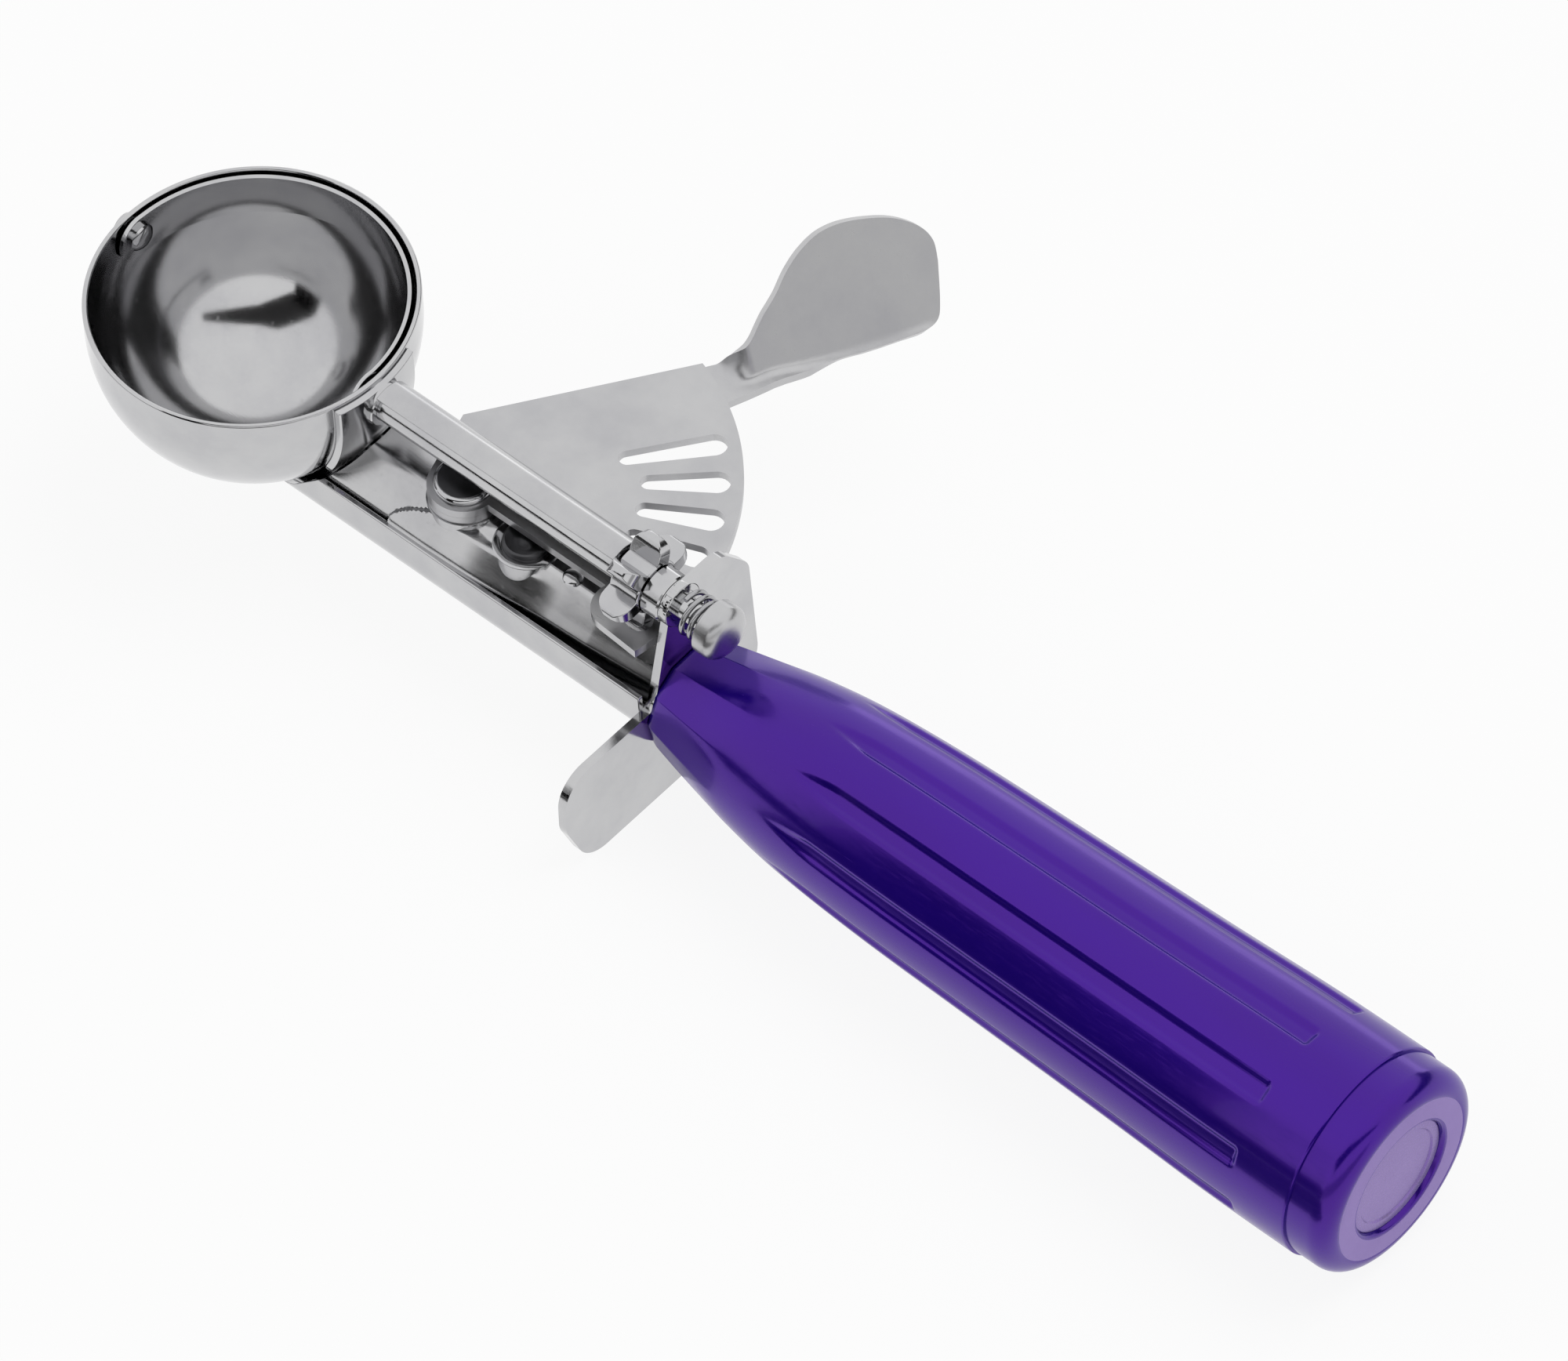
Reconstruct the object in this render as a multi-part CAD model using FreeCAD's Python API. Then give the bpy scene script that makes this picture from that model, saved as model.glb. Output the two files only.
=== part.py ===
import FreeCAD, Part
import math
import os

# Lever ice cream scoop, millimetres.
# The model is worked out with its origin at the centre of the bowl's rim: X runs along the shaft towards
# the handle, +Y is the thumb lever's side and +Z is up out of the bowl. It is moved, once whole, so that
# the origin is the middle of its footprint on the table.

# Bowl
BOWL_DIAMETER = 41.0
BOWL_WALL = 0.7
RIM_SKIRT = 3.5
SADDLE_WALL = 1.0
SADDLE_WIDTH = 13.0
SADDLE_BOTTOM = -17.5
SADDLE_TOP = -0.6

# Clearances
RUNNING_GAP = 0.05
SLIP_GAP = 0.05
SEAT_GAP = 0.02

# Scraper shaft
SHAFT_RADIUS = 2.05
SHAFT_NOSE_RADIUS = 1.4
SHAFT_TAIL_RADIUS = 1.6
BUSHING_WALL = 0.85
BUSHING_LENGTH_OUT = 0.6

# Scraper blade
BLADE_THICKNESS = 0.5
BLADE_WIDTH = 6.4
BLADE_LOBE_RADIUS = 3.3
BLADE_CLEARANCE = 0.3
TIP_PIN_RADIUS = 1.1
TIP_HEAD_RADIUS = 1.9
TIP_HEAD_HEIGHT = 0.8
NOSE_HEAD_RADIUS = 2.0
NOSE_HEAD_HEIGHT = 0.7

# Curled cover over the shaft
COVER_OUTER_RADIUS = 3.3
COVER_WALL = 0.8
COVER_REAR_GAP = 0.7
COVER_EDGE_DEG = 34.0
COVER_FLANGE_BOTTOM = -7.2
COVER_POST_END_X = 25.6

# Sector and thumb lever
PIVOT_X = 34.2
SHEET = 1.2
SECTOR_RADIUS = 33.4
SECTOR_TOP = -8.5
EYE_RADIUS = 4.6
LEAD_ANGLE = 55.7
LEAD_OFFSET = 10.2
LEAD_FOOT = 2.2
SLOT_PITCH_DEG = 11.0
SLOT_FIRST_DEG = -4.0
SLOT_COUNT = 6
SLOT_WIDTH = 3.0
SLOT_RIM = 1.5
SLOT_LENGTH = 10.9
SLOT_LONGEST_LENGTH = 13.3
END_SLOT_LENGTH = 6.3
END_SLOT_RIM = 2.2
TRAIL_OFFSET = 0.8
LEVER_ANGLE = 68.7
LEVER_STRIP_WIDTH = 6.4
LEVER_NECK_RADIUS = 35.5
LEVER_RIB_RADIUS = 45.0
LEVER_RIB_WIDTH = 2.0
PAD_TILT = 60.0
PAD_BASE_OFFSET = -1.2
# The thumb pad's outline, as distances from the pivot and heights up the pad's slope
PAD_CROWN = ((34.8, 0.4), (37.4, 3.0), (41.3, 6.6), (45.8, 11.0), (51.3, 13.9), (57.5, 13.2), (62.9, 10.2),
             (64.9, 6.4))
PAD_HEEL = ((63.1, -1.6), (62.5, -2.6), (61.4, -2.9))
BUSH_WALL = 0.75

# Pivot rivet
RIVET_RADIUS = 2.0
RIVET_HEAD_RADIUS = 3.8
RIVET_HEAD_HEIGHT = 0.95
RIVET_TAIL_RADIUS = 3.2
RIVET_TAIL_HEIGHT = 0.8
WASHER_THICKNESS = 0.3
BOSS_RADIUS = 4.8

# Pinion
PINION_TEETH = 6
PINION_TIP_RADIUS = 6.6
PINION_HUB_RADIUS = 3.6
PINION_LENGTH = 4.5
PINION_SLOT_GAP = 0.6
TOOTH_ROOT_HALF = 1.15
TOOTH_TIP_HALF = 0.55
PINION_PIN_RADIUS = 0.6

# Shank channel and the pivot plate standing in it
SHANK_HALF_WIDTH = 7.2
SHANK_WALL = 1.0
SHANK_TOP = -15.6
SHANK_BOTTOM = -23.6
SHANK_CORNER = 4.0
SHANK_FRONT_X = 12.0
PLATE_WALL = 1.0
WEB_NEAR_Y = -1.6
SLOPE_FOOT_Z = -15.6
WEB_PINION_GAP = 4.0
NEAR_GAP_FRONT = 0.1
NEAR_GAP_REAR = 1.3
BRACE_X = 44.7
BRACE_Y = -0.6
BRACE_DISC_RADIUS = 3.0
BRACE_RING_RADIUS = 4.3
BRACE_STEM_RADIUS = 1.5
BRACE_HEIGHT = 1.15
BRACE_RING_HEIGHT = 0.3
DIMPLE_X = 52.4
DIMPLE_Y = -0.9
DIMPLE_RADIUS = 1.3

# Guard plate
GUARD_SECTOR_GAP = 0.7
GUARD_THICKNESS = 1.2
GUARD_TOP = -0.8
GUARD_FAR_Y = 11.6
GUARD_NEAR_TOP_Y = -1.6
GUARD_NEAR_LOW_Y = -5.8
TONGUE_TOP = -17.9
TONGUE_REACH = 21.9
GUARD_BOTTOM = -34.5
REAR_BEARING_WALL = 0.9

# Handle, with places along it measured from the guard's rear face
HANDLE_AXIS_Z = -20.0
HANDLE_LENGTH = 110.7
HANDLE_RING_AT = 104.8
HANDLE_STEP = 0.35
BUTT_FILLET = 2.6
BUTT_RECESS_RADIUS = 7.8
BUTT_RECESS_DEPTH = 2.2
BUTT_DISC_THICKNESS = 1.5
FLUTE_COUNT = 10
FLUTE_PHASE_DEG = -4.0
FLUTE_RADIUS = 3.0
FLUTE_DEPTH = 0.4
FLUTE_FROM = 25.5
FLUTE_TO = 95.4
# The grip's outline from the guard to its ring, as places along it and radii
GRIP_LINE = ((0.0, 7.4), (6.2, 8.83), (14.8, 10.55), (23.8, 11.75), (37.2, 12.55), (54.5, 13.0),
             (75.5, 13.5), (91.5, 14.0), (HANDLE_RING_AT, 14.1))

# Tang
TANG_WIDTH = 6.2
TANG_THICKNESS = 3.0
TANG_IN_SHANK = 24.3
TANG_IN_GRIP = 80.5
TANG_FIT = 0.1
SHANK_RIVET_RADIUS = 1.5
SHANK_RIVET_HEAD = 2.6
SHANK_RIVET_HEAD_HEIGHT = 0.9
SHANK_RIVETS_FROM_GUARD = (19.3, 8.3)

# Return spring and the cap on the shaft's tail
SPRING_WIRE = 0.7
SPRING_TURNS = 3
SPRING_PITCH = 1.25
SPRING_GUARD_GAP = 0.9
SPRING_MEAN_RADIUS = 2.6
SPRING_CUP_GAP = 0.15
SPRING_END_GAP = 0.1
CAP_RADIUS = 3.6
CAP_LENGTH = 2.6
CAP_COLLAR = 0.9

V = FreeCAD.Vector
BOWL_RADIUS = BOWL_DIAMETER / 2
BOWL_INNER = BOWL_RADIUS - BOWL_WALL
AXIS_Z = -RIM_SKIRT
SADDLE_RADIUS = BOWL_RADIUS + SADDLE_WALL
SECTOR_BOTTOM = SECTOR_TOP - SHEET
LEVER_BOTTOM = SECTOR_BOTTOM - SHEET
WASHER_TOP = LEVER_BOTTOM - SLIP_GAP
WEB_TOP = WASHER_TOP - WASHER_THICKNESS
WEB_BOTTOM = WEB_TOP - PLATE_WALL
GUARD_X = PIVOT_X + SECTOR_RADIUS + GUARD_SECTOR_GAP
GUARD_REAR_X = GUARD_X + GUARD_THICKNESS
SLOT_OUTER_RADIUS = SECTOR_RADIUS - SLOT_RIM
SLOT_INNER_RADIUS = SLOT_OUTER_RADIUS - SLOT_LENGTH
SLOT_LONGEST_INNER_RADIUS = SLOT_OUTER_RADIUS - SLOT_LONGEST_LENGTH
END_SLOT_INNER_RADIUS = SLOT_OUTER_RADIUS - END_SLOT_LENGTH
PINION_REAR_X = PIVOT_X + SLOT_OUTER_RADIUS - PINION_SLOT_GAP
PINION_FRONT_X = PINION_REAR_X - PINION_LENGTH
COVER_REAR_X = PINION_FRONT_X - COVER_REAR_GAP
WEB_END_X = PINION_FRONT_X - WEB_PINION_GAP
HANDLE_RING_X = GUARD_REAR_X + HANDLE_RING_AT
HANDLE_END_X = GUARD_REAR_X + HANDLE_LENGTH
TANG_END_X = GUARD_REAR_X + TANG_IN_GRIP
SPRING_START_X = GUARD_REAR_X + SPRING_GUARD_GAP
SHANK_RIVET_PLACES = [GUARD_X - back for back in SHANK_RIVETS_FROM_GUARD]
SHANK_INNER = SHANK_HALF_WIDTH - SHANK_WALL
SHANK_FLOOR = SHANK_BOTTOM + SHANK_WALL
BEARING_BORE = SHAFT_RADIUS + RUNNING_GAP
SPRING_END_X = SPRING_START_X + SPRING_TURNS * SPRING_PITCH
BIG = 400.0


def box(x0, x1, y0, y1, z0, z1):
    """Block between two corners."""
    return Part.makeBox(x1 - x0, y1 - y0, z1 - z0, V(x0, y0, z0))


def rod(x0, x1, radius, y=0.0, z=None):
    """Cylinder along X, on the shaft's axis unless a place is given."""
    return Part.makeCylinder(radius, x1 - x0, V(x0, y, AXIS_Z if z is None else z), V(1, 0, 0))


def post(x, y, z0, z1, radius):
    """Upright cylinder."""
    return Part.makeCylinder(radius, z1 - z0, V(x, y, z0), V(0, 0, 1))


def prism(points, direction):
    """Solid swept from a closed outline of straight lines."""
    wire = Part.makePolygon(list(points) + [points[0]])
    return Part.Face(wire).extrude(direction)


def capsule(radius_in, radius_out, width, angle, z0, z1):
    """Round-ended bar lying along a ray from the pivot, for slots and their rims."""
    half = width / 2
    inner = post(radius_in + half, 0, z0, z1, half)
    outer = post(radius_out - half, 0, z0, z1, half)
    middle = box(radius_in + half, radius_out - half, -half, half, z0, z1)
    bar = middle.fuse([inner, outer]).removeSplitter()
    bar.rotate(V(0, 0, 0), V(0, 0, 1), angle)
    bar.translate(V(PIVOT_X, 0, 0))
    return bar


def bowl_form(radius, top):
    """Solid hemisphere of the given radius with the straight skirt above it."""
    low = V(0, 0, AXIS_Z - radius)
    middle = V(radius * math.sqrt(0.5), 0, AXIS_Z - radius * math.sqrt(0.5))
    side = V(radius, 0, AXIS_Z)
    arc = Part.Arc(low, middle, side).toShape()
    wall = Part.makeLine(side, V(radius, 0, top))
    lid = Part.makeLine(V(radius, 0, top), V(0, 0, top))
    axis = Part.makeLine(V(0, 0, top), low)
    face = Part.Face(Part.Wire([arc, wall, lid, axis]))
    return face.revolve(V(0, 0, 0), V(0, 0, 1), 360)


def near_bearing_parts():
    """Bushing that carries the shaft in the bowl's near wall and the saddle."""
    outer = BEARING_BORE + BUSHING_WALL
    start = BOWL_INNER - BLADE_CLEARANCE / 3
    end = SADDLE_RADIUS + BUSHING_LENGTH_OUT
    body = rod(start, end, outer)
    return body.cut(rod(start - 1, end + 1, BEARING_BORE))


def bowl_parts():
    """Bowl, the saddle soldered to its near side, and the two bushings in its wall."""
    near_hole = rod(0, BOWL_RADIUS + 2, BEARING_BORE + BUSHING_WALL)
    tip_outer = TIP_PIN_RADIUS + RUNNING_GAP + BUSHING_WALL
    tip_hole = rod(-BOWL_RADIUS - 2, 0, tip_outer)
    shell = bowl_form(BOWL_RADIUS, 0).cut(bowl_form(BOWL_INNER, 1))
    bowl = shell.cut([near_hole, tip_hole])
    patch = box(0, BIG, -SADDLE_WIDTH / 2, SADDLE_WIDTH / 2, SADDLE_BOTTOM, SADDLE_TOP)
    saddle = bowl_form(SADDLE_RADIUS, 0).cut(bowl_form(BOWL_RADIUS, 1)).common(patch).cut(near_hole)
    tip_end = BOWL_RADIUS + BUSHING_LENGTH_OUT
    tip = rod(-tip_end, -BOWL_INNER + BLADE_CLEARANCE / 3, tip_outer)
    tip = tip.cut(rod(-tip_end - 1, 0, TIP_PIN_RADIUS + RUNNING_GAP))
    return {"scoop_bowl": bowl, "bowl_saddle": saddle, "shaft_bushing": near_bearing_parts(),
            "tip_bushing": tip}


def blade_parts():
    """Half-ring scraper blade with a round lobe on each pole, and the pin of its far end."""
    outer = BOWL_INNER - BLADE_CLEARANCE
    inner = outer - BLADE_THICKNESS
    centre = V(0, 0, AXIS_Z)
    shell = Part.makeSphere(outer, centre).cut(Part.makeSphere(inner, centre))
    half = BLADE_WIDTH / 2
    band = shell.common(box(-BIG, BIG, 0, BIG, AXIS_Z - half, AXIS_Z + half))
    lobes = shell.common(rod(-BIG, BIG, BLADE_LOBE_RADIUS))
    blade = band.fuse(lobes).removeSplitter()
    blade = blade.cut([rod(0, BIG, SHAFT_NOSE_RADIUS), rod(-BIG, 0, TIP_PIN_RADIUS)])
    head_x = math.sqrt(inner ** 2 - TIP_HEAD_RADIUS ** 2)
    tail_x = BOWL_RADIUS + BUSHING_LENGTH_OUT + SLIP_GAP
    stem = rod(-tail_x - TIP_HEAD_HEIGHT, -head_x + TIP_HEAD_HEIGHT, TIP_PIN_RADIUS)
    inner_head = rod(-head_x, -head_x + TIP_HEAD_HEIGHT, TIP_HEAD_RADIUS)
    outer_head = rod(-tail_x - TIP_HEAD_HEIGHT, -tail_x, TIP_HEAD_RADIUS)
    pin = stem.fuse([inner_head, outer_head]).removeSplitter()
    return {"scraper_blade": blade, "blade_tip_pin": pin}


def shaft_parts():
    """Long shaft, its pinion and cross pin, spacer, and the cap on its tail."""
    blade_back = math.sqrt((BOWL_INNER - BLADE_CLEARANCE) ** 2 - SHAFT_RADIUS ** 2)
    blade_front = math.sqrt((BOWL_INNER - BLADE_CLEARANCE - BLADE_THICKNESS) ** 2 - NOSE_HEAD_RADIUS ** 2)
    cap_start = SPRING_END_X + SPRING_WIRE + SPRING_END_GAP
    tail_end = cap_start + CAP_LENGTH / 2
    body = rod(BOWL_INNER - BLADE_CLEARANCE + SEAT_GAP, GUARD_REAR_X + SLIP_GAP, SHAFT_RADIUS)
    tail = rod(GUARD_REAR_X, tail_end, SHAFT_TAIL_RADIUS)
    nose = rod(blade_front - NOSE_HEAD_HEIGHT, blade_back + 2, SHAFT_NOSE_RADIUS)
    head = rod(blade_front - NOSE_HEAD_HEIGHT, blade_front, NOSE_HEAD_RADIUS)
    pin_x = PINION_FRONT_X + PINION_LENGTH / 2
    pin = Part.makeCylinder(PINION_PIN_RADIUS, 2 * PINION_HUB_RADIUS, V(pin_x, -PINION_HUB_RADIUS, AXIS_Z),
                            V(0, 1, 0))
    shaft = body.fuse([tail, nose, head]).removeSplitter().cut(pin)
    pinion = pinion_body().cut([rod(0, BIG, SHAFT_RADIUS), pin])
    spacer = rod(PINION_REAR_X, GUARD_X - SLIP_GAP, PINION_HUB_RADIUS - 0.4)
    spacer = spacer.cut(rod(0, BIG, SHAFT_RADIUS))
    cap = rod(cap_start - CAP_COLLAR, cap_start + CAP_LENGTH, CAP_RADIUS)
    cap = cap.makeFillet(CAP_RADIUS / 3, [e for e in cap.Edges if abs(e.BoundBox.XMin - cap_start
                                                                      - CAP_LENGTH) < 0.01])
    cup = rod(0, cap_start, SPRING_MEAN_RADIUS + SPRING_WIRE / 2 + SPRING_CUP_GAP)
    cap = cap.cut([cup, rod(0, tail_end, SHAFT_TAIL_RADIUS)])
    return {"scraper_shaft": shaft, "drive_pinion": pinion, "pinion_pin": pin, "thrust_spacer": spacer,
            "shaft_end_cap": cap}


def pinion_body():
    """Hub with tapered radial teeth, turned so that its teeth stand in the sector's slots at rest."""
    hub = rod(PINION_FRONT_X, PINION_REAR_X, PINION_HUB_RADIUS)
    mesh_ratio = 360.0 / PINION_TEETH / SLOT_PITCH_DEG
    teeth = []
    for step in range(PINION_TEETH):
        root = PINION_HUB_RADIUS / 2
        flat = PINION_TIP_RADIUS - TOOTH_TIP_HALF
        blade = prism([V(PINION_FRONT_X, -TOOTH_ROOT_HALF, -root), V(PINION_FRONT_X, TOOTH_ROOT_HALF, -root),
                       V(PINION_FRONT_X, TOOTH_TIP_HALF, -flat), V(PINION_FRONT_X, -TOOTH_TIP_HALF, -flat)],
                      V(PINION_LENGTH, 0, 0))
        tip = rod(PINION_FRONT_X, PINION_REAR_X, TOOTH_TIP_HALF, 0, -flat)
        tooth = blade.fuse(tip).removeSplitter()
        angle = SLOT_FIRST_DEG * mesh_ratio + step * 360.0 / PINION_TEETH
        tooth.rotate(V(0, 0, 0), V(1, 0, 0), angle)
        tooth.translate(V(0, 0, AXIS_Z))
        teeth.append(tooth)
    return hub.fuse(teeth).removeSplitter()


def cover_part():
    """Sheet curled over the shaft: open on the near side, with a far flange and a front post."""
    inner = COVER_OUTER_RADIUS - COVER_WALL
    front = SADDLE_RADIUS + SEAT_GAP
    tube = rod(0, COVER_REAR_X, COVER_OUTER_RADIUS).cut(rod(-1, BIG, inner))
    edge = math.radians(COVER_EDGE_DEG)
    reach = 2 * COVER_OUTER_RADIUS
    wedge = prism([V(-1, 0, AXIS_Z), V(-1, -reach * math.sin(edge), AXIS_Z + reach * math.cos(edge)),
                   V(-1, -2 * reach, AXIS_Z), V(-1, -reach, AXIS_Z - 2 * reach),
                   V(-1, reach, AXIS_Z - 2 * reach), V(-1, reach, AXIS_Z)], V(BIG, 0, 0))
    flange = box(0, COVER_REAR_X, inner, COVER_OUTER_RADIUS, COVER_FLANGE_BOTTOM, AXIS_Z)
    leg = box(0, COVER_POST_END_X, inner, COVER_OUTER_RADIUS, WEB_TOP, AXIS_Z)
    cover = tube.cut(wedge).fuse([flange, leg]).removeSplitter()
    bushing = rod(0, SADDLE_RADIUS + BUSHING_LENGTH_OUT + SEAT_GAP, BEARING_BORE + BUSHING_WALL + SEAT_GAP)
    return cover.cut([bowl_form(front, 10), bushing])


def sector_part():
    """Flat slotted sector, its leading edge straight and a round rim about its last slot."""
    z0 = SECTOR_BOTTOM
    z1 = SECTOR_TOP
    lead = math.radians(LEAD_ANGLE)
    along = V(math.cos(lead), math.sin(lead), 0)
    across = V(-math.sin(lead), math.cos(lead), 0)
    foot = V(PIVOT_X, 0, z0) + across * LEAD_OFFSET + along * LEAD_FOOT
    outside = foot + along * SECTOR_RADIUS * 2
    root_angle = math.radians(195.0)
    root = V(PIVOT_X + EYE_RADIUS * math.cos(root_angle), EYE_RADIUS * math.sin(root_angle), z0)
    far = V(PIVOT_X + 2 * SECTOR_RADIUS, -TRAIL_OFFSET, z0)
    near = V(PIVOT_X, -TRAIL_OFFSET, z0)
    wedge = prism([foot, outside, far, near, root], V(0, 0, SHEET))
    blank = wedge.common(post(PIVOT_X, 0, z0, z1, SECTOR_RADIUS))
    rim_width = SLOT_WIDTH + 2 * END_SLOT_RIM
    rim = capsule(END_SLOT_INNER_RADIUS - END_SLOT_RIM, SECTOR_RADIUS + rim_width, rim_width, SLOT_FIRST_DEG,
                  z0, z1)
    rim = rim.common(post(PIVOT_X, 0, z0, z1, SECTOR_RADIUS))
    eye = post(PIVOT_X, 0, z0, z1, EYE_RADIUS)
    blank = blank.fuse([rim, eye]).removeSplitter()
    slots = []
    for index in range(SLOT_COUNT):
        start = SLOT_INNER_RADIUS
        if index == 0:
            start = END_SLOT_INNER_RADIUS
        if index == SLOT_COUNT - 1:
            start = SLOT_LONGEST_INNER_RADIUS
        angle = SLOT_FIRST_DEG + index * SLOT_PITCH_DEG
        slots.append(capsule(start, SLOT_OUTER_RADIUS, SLOT_WIDTH, angle, z0 - 1, z1 + 1))
    bore = post(PIVOT_X, 0, z0 - 1, z1 + 1, RIVET_RADIUS + RUNNING_GAP + BUSH_WALL)
    return blank.cut(slots + [bore])


def pad_face():
    """Face of the thumb pad's outline, with its base along the fold."""
    crown = [V(out, up, 0) for out, up in PAD_CROWN]
    heel, heel_turn, heel_end = [V(out, up, 0) for out, up in PAD_HEEL]
    curve = Part.BSplineCurve()
    curve.interpolate(crown)
    base = V(crown[0].x, PAD_BASE_OFFSET, 0)
    edges = [curve.toShape(), Part.makeLine(crown[-1], heel), Part.Arc(heel, heel_turn, heel_end).toShape(),
             Part.makeLine(heel_end, base), Part.makeLine(base, crown[0])]
    return Part.Face(Part.Wire(edges))


def lever_part():
    """Thumb lever: a strip under the sector that ends in a pad bent up along it."""
    z0 = LEVER_BOTTOM
    half = LEVER_STRIP_WIDTH / 2
    strip = box(0, LEVER_NECK_RADIUS, -half, half, z0, SECTOR_BOTTOM)
    rib = prism([V(0, -half, z0), V(LEVER_RIB_RADIUS - LEVER_RIB_WIDTH, -half, z0),
                 V(LEVER_RIB_RADIUS, PAD_BASE_OFFSET, z0), V(0, PAD_BASE_OFFSET, z0)], V(0, 0, SHEET))
    pad = pad_face().extrude(V(0, 0, SHEET))
    pad.rotate(V(0, 0, 0), V(1, 0, 0), PAD_TILT)
    pad.translate(V(0, PAD_BASE_OFFSET + SHEET * math.sin(math.radians(PAD_TILT)), SECTOR_BOTTOM))
    eye = post(0, 0, z0, SECTOR_BOTTOM, EYE_RADIUS)
    lever = strip.fuse([rib, pad, eye]).removeSplitter()
    lever = lever.cut(post(0, 0, z0 - 1, SECTOR_BOTTOM + 1, RIVET_RADIUS + RUNNING_GAP + BUSH_WALL))
    lever.rotate(V(0, 0, 0), V(0, 0, 1), LEVER_ANGLE)
    lever.translate(V(PIVOT_X, 0, 0))
    return lever


def pivot_parts():
    """Rivet through the lever's bush, with a washer under the lever."""
    head_bottom = SECTOR_TOP + SLIP_GAP
    stem = post(PIVOT_X, 0, WEB_BOTTOM, head_bottom, RIVET_RADIUS)
    head = post(PIVOT_X, 0, head_bottom, head_bottom + RIVET_HEAD_HEIGHT, RIVET_HEAD_RADIUS)
    tail = post(PIVOT_X, 0, WEB_BOTTOM - RIVET_TAIL_HEIGHT, WEB_BOTTOM, RIVET_TAIL_RADIUS)
    rivet = stem.fuse([head, tail]).removeSplitter()
    crown = [e for e in rivet.Edges if e.BoundBox.ZMin > head_bottom + RIVET_HEAD_HEIGHT / 2
             and e.BoundBox.XLength > RIVET_HEAD_RADIUS]
    rivet = rivet.makeFillet(RIVET_HEAD_HEIGHT / 2, crown)
    bore = RIVET_RADIUS + RUNNING_GAP
    bush = post(PIVOT_X, 0, LEVER_BOTTOM, SECTOR_TOP, bore + BUSH_WALL)
    bush = bush.cut(post(PIVOT_X, 0, LEVER_BOTTOM - 1, SECTOR_TOP + 1, bore))
    washer = post(PIVOT_X, 0, WEB_TOP, WASHER_TOP, BOSS_RADIUS)
    washer = washer.cut(post(PIVOT_X, 0, WEB_TOP - 1, WASHER_TOP + 1, RIVET_RADIUS))
    return {"pivot_rivet": rivet, "pivot_bush": bush, "pivot_washer": washer}


def shank_part():
    """Open channel with rounded lower corners, its front end cut to the saddle's curve."""
    def trough(half_width, bottom, corner):
        """Solid of the channel's outline, open to far above its top edge."""
        x = SHANK_FRONT_X
        side = V(x, half_width, bottom + corner)
        lower = V(x, half_width - corner, bottom)
        turn = math.sqrt(0.5)
        bend = V(x, half_width - corner + corner * turn, bottom + corner - corner * turn)
        edges = []
        for sign in (1, -1):
            edges.append(Part.Arc(V(x, sign * side.y, side.z), V(x, sign * bend.y, bend.z),
                                  V(x, sign * lower.y, lower.z)).toShape())
        top_far = V(x, half_width, SHANK_TOP)
        top_near = V(x, -half_width, SHANK_TOP)
        edges.append(Part.makeLine(lower, V(x, -lower.y, lower.z)))
        edges.append(Part.makeLine(side, top_far))
        edges.append(Part.makeLine(top_far, top_near))
        edges.append(Part.makeLine(top_near, V(x, -side.y, side.z)))
        wire = Part.Wire(Part.__sortEdges__(edges))
        return Part.Face(wire).extrude(V(GUARD_X - SHANK_FRONT_X, 0, 0))
    outside = trough(SHANK_HALF_WIDTH, SHANK_BOTTOM, SHANK_CORNER)
    inside = trough(SHANK_INNER, SHANK_FLOOR, SHANK_CORNER - SHANK_WALL)
    holes = [post(x, 0, SHANK_BOTTOM - 1, SHANK_FLOOR + 1, SHANK_RIVET_RADIUS) for x in SHANK_RIVET_PLACES]
    return outside.cut([inside, bowl_form(SADDLE_RADIUS, 10)] + holes)


def plate_section(x, near_gap):
    """Closed outline of the pivot plate's hat section at one station along X."""
    near = -SHANK_INNER + near_gap
    far = SHANK_INNER
    low = SHANK_FLOOR + SHANK_CORNER - SHANK_WALL
    wall = PLATE_WALL
    points = [V(x, near, low), V(x, near, SLOPE_FOOT_Z), V(x, WEB_NEAR_Y, WEB_TOP), V(x, far - wall, WEB_TOP),
              V(x, far, WEB_TOP - wall), V(x, far, low), V(x, far - wall, low),
              V(x, far - wall, WEB_BOTTOM - wall), V(x, far - 2 * wall, WEB_BOTTOM),
              V(x, WEB_NEAR_Y + wall / 2, WEB_BOTTOM), V(x, near + wall, SLOPE_FOOT_Z - wall / 2),
              V(x, near + wall, low)]
    return Part.makePolygon(points + [points[0]])


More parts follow.
